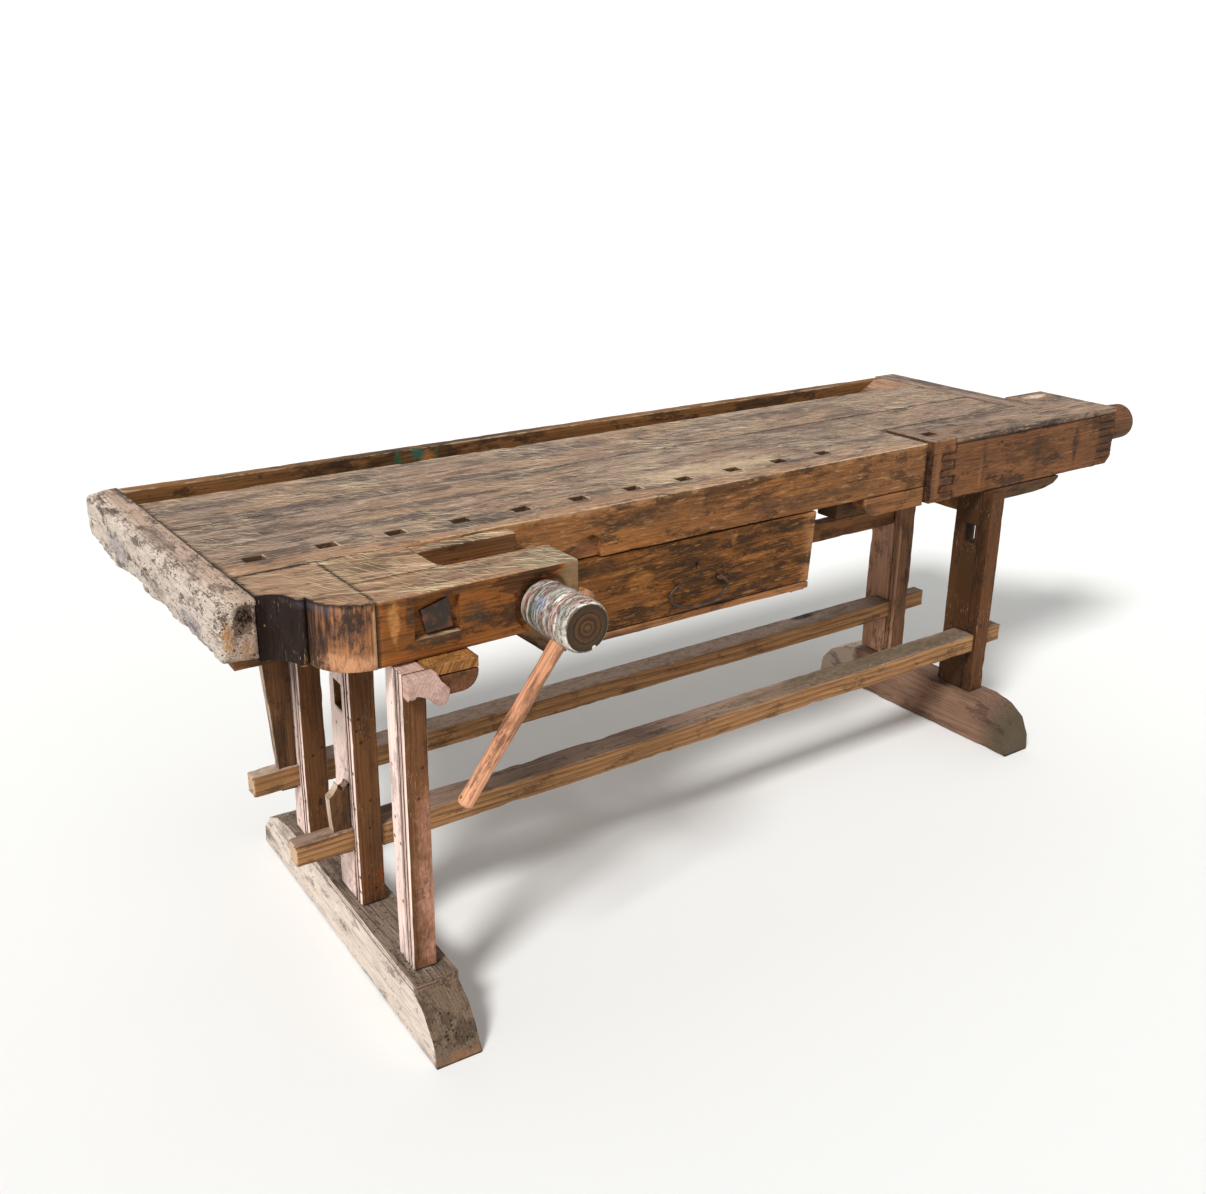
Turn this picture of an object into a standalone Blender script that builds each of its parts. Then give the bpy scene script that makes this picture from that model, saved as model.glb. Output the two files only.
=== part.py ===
"""Old joiner's workbench: two trestles, a planked top with a tool tray, a shoulder vise,
a tail vise and a drawer. Metres, +Z up, floor at Z 0.

Bench frame used below: X runs along the bench from the inner face of the left end cap,
Y runs from the front face of the dog strip to the back, Z is the height above the floor.
The empty named bench moves that frame so that the origin ends up under the middle."""

import math

import bmesh
import bpy
from mathutils import Euler, Matrix, Vector

# Bench top
top_height = 0.770
bench_length = 2.150
left_cap_width = 0.067
left_cap_front = -0.108
right_cap_width = 0.075
slab_thickness = 0.070
front_edge_height = 0.100
front_edge_width = 0.115
front_plank_width = 0.290
rear_plank_width = 0.190
tray_width = 0.105
tray_board_thickness = 0.015
tray_board_lap = 0.030
back_rail_thickness = 0.030
back_rail_drop = 0.003
ramp_length = 0.100
ramp_flat = 0.035
ramp_toe = 0.015
ramp_drop = 0.001
tongue_length = 0.018
tongue_height = 0.022
tongue_inset = 0.015
worn_edge = 0.005
small_bevel = 0.002
foot_bevel = 0.003
vise_bevel = 0.003

# Dog holes
dog_hole_count = 11
dog_first_x = 0.064
dog_spacing = 0.128
dog_hole_length = 0.034
dog_hole_width = 0.023
dog_line_y = 0.070

# Scoop gouged in the lower edge of the dog strip, above the drawer's left end
scoop_before_drawer = 0.020
scoop_length = 0.098
scoop_height = 0.048
scoop_depth = 0.014
scoop_shoulder = 0.018

# Wooden screws, both vises
screw_radius = 0.033
screw_pitch = 0.0127
thread_depth = 0.005
head_radius = 0.045
head_length = 0.133
head_round = 0.006
head_swell = 0.001
neck_length = 0.012
end_chamfer = 0.003
screw_drop = 0.065
bore_clearance = 0.0008
bar_radius = 0.0135
bar_clearance = 0.0012
tail_bar_place = 0.62

# Shoulder vise
shoulder_height = 0.110
shoulder_reach = 0.222
shoulder_block_width = 0.141
ogee_cove_radius = 0.045
ogee_bead_width = 0.016
shoulder_arm_thickness = 0.092
shoulder_arm_end = 0.508
slot_start = 0.299
slot_corner_radius = 0.020
shoulder_screw_x = 0.438
chop_thickness = 0.034
chop_length = 0.198
chop_right_gap = 0.006
chop_back_gap = 0.001
chop_drop = 0.004
chop_lift = 0.002
chop_spigot_radius = 0.015
chop_spigot_depth = 0.020
head_recess_radius = 0.052
head_recess_depth = 0.010
head_seat_gap = 0.004
handle_y = -0.305
handle_length = 0.394
handle_lean = 37.0
handle_stick_out = 0.009
handle_soft_end = 0.004
handle_swell = 0.0006
peg_head_gap = 0.001
peg_radius = 0.003
peg_length = 0.036
lower_peg_inset = 0.012
bolt_x = 0.244
bolt_radius = 0.007
bolt_drop = 0.046
bolt_recess_width = 0.080
bolt_recess_height = 0.062
bolt_recess_depth = 0.014
bolt_head_thickness = 0.006
bolt_head_width = 0.050
bolt_head_height = 0.056
bolt_head_taper = 0.012
bolt_reach = 0.035

# Tail vise
vise_cutout_length = 0.547
jaw_opening = 0.019
tail_depth = 0.148
tail_running_gap = 0.003
tail_height = 0.145
tail_jaw_width = 0.078
tail_board_thickness = 0.030
tail_top_thickness = 0.015
tail_end_width = 0.150
tail_end_back = 0.235
tail_end_chamfer = 0.018
left_finger_length = 0.045
right_finger_length = 0.063
finger_count = 7
tail_dog_inset = 0.052
tail_dog_y = 0.065
tail_screw_y = 0.075
tail_shaft_reach = 0.270
nut_underhang = 0.016
nut_play = 0.0015
guide_rail_y = 0.175
guide_rail_width = 0.050
guide_rail_height = 0.050
guide_rail_drop = 0.010
guide_rail_length = 0.453
guide_tenon = 0.130
keeper_inset = 0.245
keeper_length = 0.050
keeper_wall = 0.012
keeper_play = 0.001
key_thickness = 0.010
key_x_inset = 0.060
key_side_reach = 0.006
key_sink = 0.001
key_top_gap = 0.002
garter_depth = 0.007
end_pin_radius = 0.010
end_pin_inset = 0.036
end_pin_sink = 0.005
end_pin_seat = 0.010

# Pieces under the dog strip
cleat_length = 0.189
cleat_height = 0.045
cleat_depth = 0.045
cleat_round = 0.040
cleat_setback = 0.001
strip_block_length = 0.218
strip_block_height = 0.057
strip_block_depth = 0.060

# Trestles
foot_height = 0.116
foot_width = 0.086
heel_length = 0.150
left_toe_length = 0.079
right_toe_length = 0.105
leg_inset = 0.018
leg_width = 0.048
left_foot_x = 0.142
left_foot_front = -0.358
left_foot_back = 0.465
left_turn = -2.5
left_turn_y = -0.300
right_foot_inset = 0.355
right_foot_front = -0.168
right_foot_back = 0.465
post_front = -0.249
post_depth = 0.064
post_width = 0.043
post_drop = 0.003
corbel_reach = 0.074
corbel_height = 0.058
corbel_thickness = 0.020
left_front_leg_y = -0.028
left_front_leg_depth = 0.098
left_rear_leg_y = 0.231
left_rear_leg_depth = 0.074
right_front_leg_y = -0.030
right_front_leg_depth = 0.105
right_rear_leg_y = 0.235
right_rear_leg_depth = 0.105
leg_bead_depth = 0.003
leg_bead_width = 0.004
leg_bead_inset = 0.010
leg_bead_spacing = 0.011
square_hole_y = 0.012
square_hole_width = 0.036
square_hole_z = 0.488
square_hole_height = 0.050
top_bearer_height = 0.067
top_bearer_back = 0.440
bearer_overhang = 0.010
bearer_front_gap = 0.010
top_rail_width = 0.086
top_rail_height = 0.036
top_rail_round = 0.030
packing_thickness = 0.020
packing_board_back = -0.090
bearer_board_left = -0.040
bearer_board_front = -0.072
bearer_board_depth = 0.100
right_rail_drop = 0.020
right_rail_height = 0.045
right_rail_inset = 0.004
shoe_length = 0.237
shoe_height = 0.031
shoe_round_length = 0.085
shoe_width = 0.070

# Stretchers and their wedges
stretcher_z = 0.222
stretcher_height = 0.046
front_stretcher_y = -0.025
rear_stretcher_y = 0.250
stretcher_width = 0.062
stretcher_tenon_width = 0.034
stretcher_tenon_shoulder = 0.001
tenon_play = 0.001
front_tenon_out_left = 0.107
rear_tenon_out_left = 0.090
front_tenon_out_right = 0.069
rear_tenon_out_right = 0.094
wedge_thickness = 0.020
wedge_taper = 0.070
wedge_foot_width = 0.034
rear_wedge_rise = 0.255
front_wedge_rise = 0.090
wedge_below = 0.006
wedge_split = 0.016
wedge_play = 0.0005

# Rail behind the drawer, between the rear legs
under_rail_y = 0.262
under_rail_width = 0.035
under_rail_drop = 0.022
under_rail_height = 0.047
under_rail_tenon = 0.020
under_rail_shoulder = 0.008

# Drawer
drawer_inset = 0.345
drawer_width = 0.626
drawer_flare = 0.012
drawer_height = 0.173
drawer_bottom_thickness = 0.016
drawer_front_thickness = 0.022
drawer_front_y = -0.001
drawer_depth = 0.250
drawer_side_thickness = 0.014
drawer_side_drop = 0.012
drawer_side_inset = 0.004
drawer_top_gap = 0.0015
drawer_play = 0.0015
runner_height = 0.018
runner_ledge = 0.022
runner_web = 0.018
runner_front = 0.030
keyhole_radius = 0.004
keyhole_slot = 0.011
keyhole_slot_width = 0.0036
keyhole_drop = 0.057
lock_width = 0.060
lock_height = 0.050
lock_above_key = 0.020
lock_thickness = 0.012
bail_drop = 0.092
bail_stand_off = 0.009
bail_half_width = 0.074
bail_half_height = 0.031
bail_wire = 0.0028
bail_eye_play = 0.0006
bail_opening = 50.0
bail_grip_swell = 1.2
bail_grip_share = 0.45
lug_width = 0.007
lug_radius = 0.008
lug_nose_radius = 0.0064

# Clearance left between pieces that touch
gap = 0.0003

# How far a cutter reaches past the face it goes through, and past a whole piece
past = 0.020
far_past = 0.500

# Heights and lines that follow from the sizes above
strip_length = bench_length - vise_cutout_length
right_foot_x = bench_length - right_foot_inset
keeper_x = bench_length - keeper_inset
slab_under = top_height - slab_thickness
edge_under = top_height - front_edge_height
shoulder_under = top_height - shoulder_height
front_plank_back = front_plank_width
slab_back = front_plank_back + rear_plank_width
tray_back = slab_back + tray_width
bench_back = tray_back + back_rail_thickness
right_cap_x = bench_length - right_cap_width
screw_z = top_height - screw_drop
arm_back = -(shoulder_reach - shoulder_arm_thickness)
tail_under = top_height - tail_height
tail_slab_front = tail_depth + tail_running_gap
tail_left = strip_length + jaw_opening
tail_dog_x = tail_left + tail_dog_inset
tail_end_x = bench_length + tail_running_gap
tail_right = tail_end_x + tail_end_width
guide_rail_start = tail_end_x - guide_rail_length
tail_board_top = top_height - tail_top_thickness
top_bearer_under = slab_under - top_bearer_height
drawer_bottom_z = edge_under - drawer_height
under_rail_z = drawer_bottom_z - under_rail_drop
drawer_left = strip_length - drawer_inset - drawer_width
drawer_right = drawer_left + drawer_width
scoop_x = drawer_left - scoop_before_drawer
leg_inner = leg_inset + leg_width
drawer_top = edge_under - drawer_top_gap

finishes = {
    "worn_top": ((0.26, 0.19, 0.14), 0.75, 0.0),
    "orange_edge": ((0.36, 0.20, 0.09), 0.70, 0.0),
    "bleached_end": ((0.55, 0.46, 0.35), 0.85, 0.0),
    "pine": ((0.42, 0.26, 0.13), 0.75, 0.0),
    "pink_leg": ((0.50, 0.33, 0.25), 0.75, 0.0),
    "grey_foot": ((0.48, 0.40, 0.34), 0.85, 0.0),
    "red_brown": ((0.24, 0.11, 0.05), 0.65, 0.0),
    "pale_board": ((0.60, 0.42, 0.22), 0.80, 0.0),
    "handle_wood": ((0.55, 0.30, 0.18), 0.60, 0.0),
    "flaking_paint": ((0.42, 0.45, 0.38), 0.60, 0.0),
    "dark_iron": ((0.06, 0.05, 0.045), 0.55, 0.8),
}


def clear_scene():
    for obj in list(bpy.data.objects):
        bpy.data.objects.remove(obj, do_unlink=True)


def finish_material(finish):
    material = bpy.data.materials.get(finish)
    if material is None:
        color, roughness, metallic = finishes[finish]
        material = bpy.data.materials.new(finish)
        material.use_nodes = True
        shader = material.node_tree.nodes["Principled BSDF"]
        shader.inputs["Base Color"].default_value = (*color, 1.0)
        shader.inputs["Roughness"].default_value = roughness
        shader.inputs["Metallic"].default_value = metallic
    return material


def new_empty(name, parent, location, turn=0.0):
    """An empty that carries pieces, at location, turned in degrees about Z."""
    empty = bpy.data.objects.new(name, None)
    bpy.context.collection.objects.link(empty)
    empty.parent = parent
    empty.location = location
    empty.rotation_euler = Euler((0.0, 0.0, math.radians(turn)))
    return empty


def add_object(name, bm, finish, parent, origin=(0.0, 0.0, 0.0)):
    """Turns a bmesh drawn in the parent's frame into an object whose own origin is at origin."""
    bmesh.ops.recalc_face_normals(bm, faces=bm.faces)
    bmesh.ops.translate(bm, verts=bm.verts, vec=-Vector(origin))
    mesh = bpy.data.meshes.new(name)
    bm.to_mesh(mesh)
    bm.free()
    obj = bpy.data.objects.new(name, mesh)
    bpy.context.collection.objects.link(obj)
    obj.parent = parent
    obj.location = origin
    if finish:
        mesh.materials.append(finish_material(finish))
    else:
        obj.hide_render = True
        obj.display_type = "WIRE"
    return obj


def block(name, x, y, z, finish, parent, origin=(0.0, 0.0, 0.0), bevel=0.0):
    """A box from its X, Y and Z spans; its edges are worn by bevel."""
    bm = bmesh.new()
    size = (x[1] - x[0], y[1] - y[0], z[1] - z[0])
    middle = ((x[0] + x[1]) / 2, (y[0] + y[1]) / 2, (z[0] + z[1]) / 2)
    bmesh.ops.create_cube(bm, size=1.0, matrix=Matrix.LocRotScale(Vector(middle), None, Vector(size)))
    obj = add_object(name, bm, finish, parent, origin)
    wear(obj, bevel)
    return obj


def prism(name, outline, axis, span, finish, parent, origin=(0.0, 0.0, 0.0), bevel=0.0):
    """An outline drawn in the plane square to axis and extruded over span.

    Outline points are (Y, Z) for axis X, (X, Z) for axis Y and (X, Y) for axis Z."""
    bm = bmesh.new()
    place = {
        "X": lambda u, v: (span[0], u, v),
        "Y": lambda u, v: (u, span[0], v),
        "Z": lambda u, v: (u, v, span[0]),
    }[axis]
    face = bm.faces.new([bm.verts.new(place(u, v)) for u, v in outline])
    grown = bmesh.ops.extrude_face_region(bm, geom=[face])
    length = span[1] - span[0]
    shift = {"X": (length, 0, 0), "Y": (0, length, 0), "Z": (0, 0, length)}[axis]
    moved = [item for item in grown["geom"] if isinstance(item, bmesh.types.BMVert)]
    bmesh.ops.translate(bm, verts=moved, vec=shift)
    obj = add_object(name, bm, finish, parent, origin)
    wear(obj, bevel)
    return obj


def turned(name, profile, axis, centre, finish, parent, origin=(0.0, 0.0, 0.0), sides=24):
    """A closed turned solid. Profile points are (distance along axis, radius), radius 0 at both ends."""
    bm = bmesh.new()
    rings = []
    for along, radius in profile:
        count = 1 if radius == 0.0 else sides
        ring = [bm.verts.new((along, radius * math.cos(a), radius * math.sin(a)))
                for a in (2 * math.pi * i / sides for i in range(count))]
        rings.append(ring)
    for first, second in zip(rings, rings[1:]):
        for i in range(sides):
            j = (i + 1) % sides
            corners = [first[i % len(first)], first[j % len(first)],
                       second[j % len(second)], second[i % len(second)]]
            bm.faces.new(list(dict.fromkeys(corners)))
    direction = Vector(axis).normalized()
    turn = direction.to_track_quat("X", "Z").to_matrix().to_4x4()
    bmesh.ops.transform(bm, matrix=Matrix.Translation(centre) @ turn, verts=bm.verts)
    obj = add_object(name, bm, finish, parent, origin)
    obj.data.shade_smooth()
    obj.data.set_sharp_from_angle(angle=math.radians(35))
    return obj


def wear(obj, width):
    """Worn edges: a narrow bevel on every edge sharper than 50 degrees."""
    if width > 0.0:
        modifier = obj.modifiers.new("worn edges", "BEVEL")
        modifier.width = width
        modifier.segments = 1
        modifier.limit_method = "ANGLE"
        modifier.angle_limit = math.radians(50)


def cut(obj, *tools):
    for tool in tools:
        modifier = obj.modifiers.new("cut", "BOOLEAN")
        modifier.operation = "DIFFERENCE"
        modifier.object = tool


def fuse(obj, *tools):
    for tool in tools:
        modifier = obj.modifiers.new("fuse", "BOOLEAN")
        modifier.operation = "UNION"
        modifier.object = tool


def arc(centre, radius, start, end, steps):
    """Points on a circle from start to end degrees, both ends included."""
    points = []
    for i in range(steps + 1):
        angle = math.radians(start + (end - start) * i / steps)
        points.append((centre[0] + radius * math.cos(angle), centre[1] + radius * math.sin(angle)))
    return points


def smooth_line(corners, steps):
    """A smooth curve through corners, read off a Catmull-Rom spline at steps points per stretch."""
    points = []
    last = len(corners) - 1
    for i in range(last):
        before = corners[max(i - 1, 0)]
        start, end = corners[i], corners[i + 1]
        after = corners[min(i + 2, last)]
        for k in range(steps):
            t = k / steps
            points.append(tuple(
                0.5 * (2 * b + (c - a) * t + (2 * a - 5 * b + 4 * c - d) * t * t
                       + (3 * b - a - 3 * c + d) * t ** 3)
                for a, b, c, d in zip(before, start, end, after)))
    points.append(corners[-1])
    return points


def dog_hole_cutter(name, x, y, under, parent):
    """A square hole for a bench dog, right through the piece."""
    half_length = dog_hole_length / 2
    half_width = dog_hole_width / 2
    return block(name, (x - half_length, x + half_length), (y - half_width, y + half_width),
                 (under - past, top_height + past), None, parent)


def build_top(bench):
    """The planks, the two end caps and the tool tray."""
    tongue_z = (slab_under + slab_thickness / 2 - tongue_height / 2,
                slab_under + slab_thickness / 2 + tongue_height / 2)
    groove_z = (tongue_z[0] - gap, tongue_z[1] + gap)
    plank_x = (0.0, right_cap_x - gap)
    seam = front_plank_back - gap

    # The front plank is thick along its front edge and stops where the tail vise slides
    section = [(worn_edge, top_height), (0.0, top_height - worn_edge), (0.0, edge_under),
               (front_edge_width, edge_under), (front_edge_width, slab_under), (seam, slab_under),
               (seam, top_height)]
    front_plank = prism("front_plank", section, "X", (0.0, strip_length), "worn_top", bench)
    fuse(front_plank, block("plank_behind_vise", (strip_length - past, plank_x[1]),
                            (tail_slab_front, seam), (slab_under, top_height), None, bench))
    rear_plank = block("rear_plank", plank_x, (front_plank_back, slab_back - gap),
                       (slab_under, top_height), "worn_top", bench)
    tongues = ((front_plank, (-tongue_length, past), (tongue_inset, seam)),
               (front_plank, (right_cap_x - past, right_cap_x + tongue_length),
                (tail_slab_front + tongue_inset, seam)),
               (rear_plank, (-tongue_length, right_cap_x + tongue_length),
                (front_plank_back, slab_back - tongue_inset)))
    for k, (plank, tongue_x, tongue_y) in enumerate(tongues):
        fuse(plank, block(f"tongue_{k}", tongue_x, tongue_y, tongue_z, None, bench))
    for i in range(dog_hole_count):
        hole = dog_hole_cutter(f"dog_hole_{i}", dog_first_x + i * dog_spacing, dog_line_y,
                               edge_under, bench)
        cut(front_plank, hole)
    rise = scoop_height / 2
    scoop_end = scoop_x + scoop_length
    scoop = [(scoop_x, edge_under - past), (scoop_x + past, edge_under + scoop_shoulder)]
    scoop += arc((scoop_end - rise, edge_under + rise), rise, 120, 0, 6)
    scoop += [(scoop_end, edge_under - past)]
    cut(front_plank, prism("scoop", scoop, "Y", (-past, scoop_depth), None, bench))

    groove_length = tongue_length + gap
    left_cap = block("left_end_cap", (-left_cap_width, -gap), (left_cap_front, bench_back),
                     (edge_under, top_height), "bleached_end", bench, bevel=worn_edge * 2)
    cut(left_cap, block("left_groove", (-groove_length, past),
                        (tongue_inset - gap, slab_back - tongue_inset + gap), groove_z, None, bench))
    right_cap = block("right_end_cap", (right_cap_x, bench_length), (tail_slab_front, bench_back),
                      (slab_under, top_height), "worn_top", bench, bevel=worn_edge)
    cut(right_cap, block("right_groove", (right_cap_x - past, right_cap_x + groove_length),
                         (tail_slab_front + tongue_inset - gap, slab_back - tongue_inset + gap),
                         groove_z, None, bench))

    tray_x = (gap, right_cap_x - gap)
    tray_z = (slab_under - tray_board_thickness, slab_under - gap)
    block("tray_board", tray_x, (slab_back - tray_board_lap, bench_back), tray_z, "pine", bench)
    block("tray_back_rail", tray_x, (tray_back, bench_back),
          (slab_under, top_height - back_rail_drop), "pine", bench, bevel=worn_edge)
    ramp_start = right_cap_x - ramp_flat - ramp_length
    ramp = [(ramp_start, slab_under), (tray_x[1], slab_under), (tray_x[1], top_height - ramp_drop),
            (right_cap_x - ramp_flat, top_height - ramp_drop), (ramp_start, slab_under + ramp_toe)]
    prism("tray_ramp", ramp, "Y", (slab_back, tray_back - gap), "pink_leg", bench)


def build_pieces_under_strip(bench):
    """The rounded cleat flush with the front, and the dark block behind it."""
    top = edge_under - gap
    under = edge_under - cleat_height
    cleat_left = strip_length - cleat_length
    outline = [(strip_length, under), (strip_length, top), (cleat_left, top)]
    outline += arc((cleat_left + cleat_round, under + cleat_round), cleat_round, 180, 270, 6)
    prism("strip_cleat", outline, "Y", (cleat_setback, cleat_depth), "orange_edge", bench)
    block_y = (front_edge_width - strip_block_depth, front_edge_width)
    block("strip_block", (strip_length - strip_block_length, strip_length), block_y,
          (edge_under - strip_block_height, top), "red_brown", bench)


def build_shoulder(bench):
    """The fixed part of the shoulder vise: shaped block, spacer, arm and bolt."""
    span_z = (shoulder_under, top_height)
    front = -shoulder_reach
    quarter = shoulder_block_width - ogee_cove_radius - ogee_bead_width - 2 * gap
    bead_y = front + quarter
    cove_x = gap + ogee_cove_radius
    bead = ogee_bead_width / 2
    outline = [(gap, -gap), (gap, bead_y + ogee_cove_radius)]
    outline += arc((gap, bead_y), ogee_cove_radius, 90, 0, 8)[1:]
    outline += arc((cove_x + bead, bead_y), bead, 200, 340, 4)
    outline += arc((shoulder_block_width - gap, bead_y), quarter, 180, 270, 10)
    outline += [(shoulder_block_width - gap, -gap)]
    prism("shoulder_block", outline, "Z", span_z, "orange_edge", bench)

    corner = slot_corner_radius
    spacer = [(shoulder_block_width, -gap), (shoulder_block_width, arm_back + gap),
              (slot_start + corner, arm_back + gap)]
    spacer += arc((slot_start + corner, arm_back + gap + corner), corner, 270, 180, 5)[1:]
    spacer += [(slot_start, -gap)]
    spacer_obj = prism("shoulder_spacer", spacer, "Z", span_z, "worn_top", bench)

    arm = block("shoulder_arm", (shoulder_block_width, shoulder_arm_end), (front, arm_back),
                span_z, "orange_edge", bench, bevel=worn_edge)
    bore = screw_radius + bore_clearance
    mouth = (shoulder_screw_x, front, screw_z)
    screw_bore = turned("shoulder_nut_bore", [(-far_past, 0), (-far_past, bore), (far_past, bore),
                                              (far_past, 0)], (0, 1, 0), mouth, None, bench)
    recess = turned("head_recess", [(-far_past, 0), (-far_past, head_recess_radius),
                                    (head_recess_depth, head_recess_radius), (head_recess_depth, 0)],
                    (0, 1, 0), mouth, None, bench, sides=32)
    bolt_z = top_height - bolt_drop
    half = bolt_recess_width / 2
    half_z = bolt_recess_height / 2
    plate_recess = block("plate_recess", (bolt_x - half, bolt_x + half),
                         (front - past, front + bolt_recess_depth),
                         (bolt_z - half_z, bolt_z + half_z), None, bench)
    hole = bolt_radius + gap
    bolt_bore = turned("bolt_bore", [(0, 0), (0, hole), (bolt_reach - front + past, hole),
                                     (bolt_reach - front + past, 0)],
                       (0, 1, 0), (bolt_x, front - past / 2, bolt_z), None, bench, sides=12)
    cut(arm, screw_bore, recess, plate_recess, bolt_bore)
    cut(spacer_obj, bolt_bore)
    cut(bpy.data.objects["front_plank"], bolt_bore)

    seat = front + bolt_recess_depth
    half_width = bolt_head_width / 2
    half_height = bolt_head_height / 2
    head = [(bolt_x - half_width, bolt_z + half_height - bolt_head_taper),
            (bolt_x - half_width + bolt_head_taper / 2, bolt_z - half_height + gap),
            (bolt_x + half_width, bolt_z - half_height), (bolt_x + half_width, bolt_z + half_height)]
    bolt = prism("shoulder_bolt", head, "Y", (seat - bolt_head_thickness - gap, seat - gap),
                 "dark_iron", bench)
    shank_start = -bolt_head_thickness / 2
    shank_end = bolt_reach - seat
    fuse(bolt, turned("bolt_shank", [(shank_start, 0), (shank_start, bolt_radius),
                                     (shank_end, bolt_radius), (shank_end, 0)],
                      (0, 1, 0), (bolt_x, seat, bolt_z), None, bench, sides=12))


def thread_radius(angle, along):
    """Radius of the wooden thread: a ridge that climbs one pitch a turn."""
    phase = (along / screw_pitch - angle / (2 * math.pi)) % 1.0
    return screw_radius - thread_depth * abs(2 * phase - 1)


def threaded_screw(name, shaft, groove, spigot, handle_hole, axis, centre, finish, parent):
    """A turned wooden screw: head, neck, threaded shaft and an end spigot if it has one.

    Along the axis, 0 is the back of the head, and the head lies at negative values.
    groove is the (start, end) of a garter groove in the neck, or None."""
    sides = 20
    rings_per_turn = 4
    core = screw_radius - thread_depth
    angles = [2 * math.pi * i / sides for i in range(sides)]
    bm = bmesh.new()
    rings = []

    def ring(along, radius):
        shown = angles if radius else angles[:1]
        rings.append([bm.verts.new((along, radius * math.cos(a), radius * math.sin(a))) for a in shown])

    ring(-head_length, 0.0)
    ring(-head_length, head_radius - head_round)
    ring(-head_length + head_round, head_radius)
    ring(-head_length / 2, head_radius + head_swell)
    ring(-3 * head_round, head_radius - head_swell)
    ring(0.0, head_radius - head_round)
    ring(0.0, core)
    neck_end = neck_length
    if groove:
        for along, radius in ((groove[0], core), (groove[0], core - garter_depth),
                              (groove[1], core - garter_depth), (groove[1], core)):
            ring(along, radius)
        neck_end += groove[1]
    ring(neck_end, core)
    step = screw_pitch / rings_per_turn
    for k in range(int((shaft - neck_end - neck_length) / step)):
        along = neck_end + (k + 1) * step
        rings.append([bm.verts.new((along, thread_radius(a, along) * math.cos(a),
                                    thread_radius(a, along) * math.sin(a))) for a in angles])
    ring(shaft, core - end_chamfer)
    if spigot:
        ring(shaft, chop_spigot_radius)
        ring(shaft + spigot, chop_spigot_radius)
    ring(shaft + spigot, 0.0)

    for first, second in zip(rings, rings[1:]):
        for i in range(sides):
            j = (i + 1) % sides
            corners = [first[i % len(first)], first[j % len(first)],
                       second[j % len(second)], second[i % len(second)]]
            bm.faces.new(list(dict.fromkeys(corners)))
    direction = Vector(axis).normalized()
    turn = direction.to_track_quat("X", "Z").to_matrix().to_4x4()
    bmesh.ops.transform(bm, matrix=Matrix.Translation(centre) @ turn, verts=bm.verts)
    obj = add_object(name, bm, finish, parent, centre)
    obj.data.shade_smooth()
    obj.data.set_sharp_from_angle(angle=math.radians(35))
    cut(obj, handle_hole)
    return obj


def build_shoulder_vise(bench):
    """The moving part of the shoulder vise: chop, screw and sliding handle."""
    front = -shoulder_reach
    chop_back = -chop_back_gap
    chop_front = chop_back - chop_thickness
    chop_right = shoulder_arm_end - chop_right_gap
    carrier = new_empty("shoulder_chop_slide", bench, (shoulder_screw_x, chop_front, screw_z))
    local = Vector((shoulder_screw_x, chop_front, screw_z))

    def near(point):
        return tuple(Vector(point) - local)

    chop = block("shoulder_chop",
                 (chop_right - chop_length - local.x, chop_right - local.x),
                 (0.0, chop_thickness),
                 (edge_under + chop_lift - local.z, top_height - chop_drop - local.z),
                 "orange_edge", carrier, bevel=vise_bevel)
    socket = chop_spigot_radius + bore_clearance
    deep = chop_spigot_depth + gap
    cut(chop, turned("spigot_socket", [(-past, 0), (-past, socket), (deep, socket), (deep, 0)],
                     (0, 1, 0), (0, 0, 0), None, carrier))

    head_back = front + head_recess_depth - head_seat_gap
    lean = math.radians(handle_lean)
    along = Vector((-math.sin(lean), 0.0, -math.cos(lean)))
    across = Vector((-math.cos(lean), 0.0, math.sin(lean)))
    crossing = Vector(near((shoulder_screw_x, handle_y, screw_z)))
    hole = bar_radius + bar_clearance
    handle_hole = turned("handle_hole", [(-far_past, 0), (-far_past, hole), (far_past, hole), (far_past, 0)],
                         along, crossing, None, carrier)
    threaded_screw("shoulder_screw", chop_front - gap - head_back, None, chop_spigot_depth,
                   handle_hole, (0, 1, 0), near((shoulder_screw_x, head_back, screw_z)),
                   "flaking_paint", carrier)

    start = -(head_radius + handle_stick_out)
    end = start + handle_length
    soft = handle_soft_end
    handle = turned("shoulder_handle",
                    [(start, 0), (start, bar_radius - soft), (start + soft, bar_radius),
                     ((start + end) / 2, bar_radius + handle_swell), (end - soft, bar_radius),
                     (end, bar_radius - soft), (end, 0)],
                    along, crossing, "handle_wood", carrier, origin=tuple(crossing))
    upper = -(head_radius + peg_head_gap + peg_radius + gap)
    lower = end - lower_peg_inset
    for name, where in (("handle_peg_upper", upper), ("handle_peg_lower", lower)):
        centre = crossing + along * where
        half = peg_length / 2
        turned(name, [(-half, 0), (-half, peg_radius), (half, peg_radius), (half, 0)],
               across, centre, "pale_board", carrier, origin=tuple(centre), sides=8)
        peg_hole = peg_radius + gap
        cut(handle, turned(name + "_hole", [(-half, 0), (-half, peg_hole), (half, peg_hole), (half, 0)],
                           across, centre, None, carrier, sides=8))


def finger_slots():
    """Heights of the fingers that belong to the front board, from the bottom up."""
    height = (tail_board_top - gap - tail_under) / finger_count
    return [(tail_under + k * height, tail_under + (k + 1) * height)
            for k in range(1, finger_count, 2)]


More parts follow.
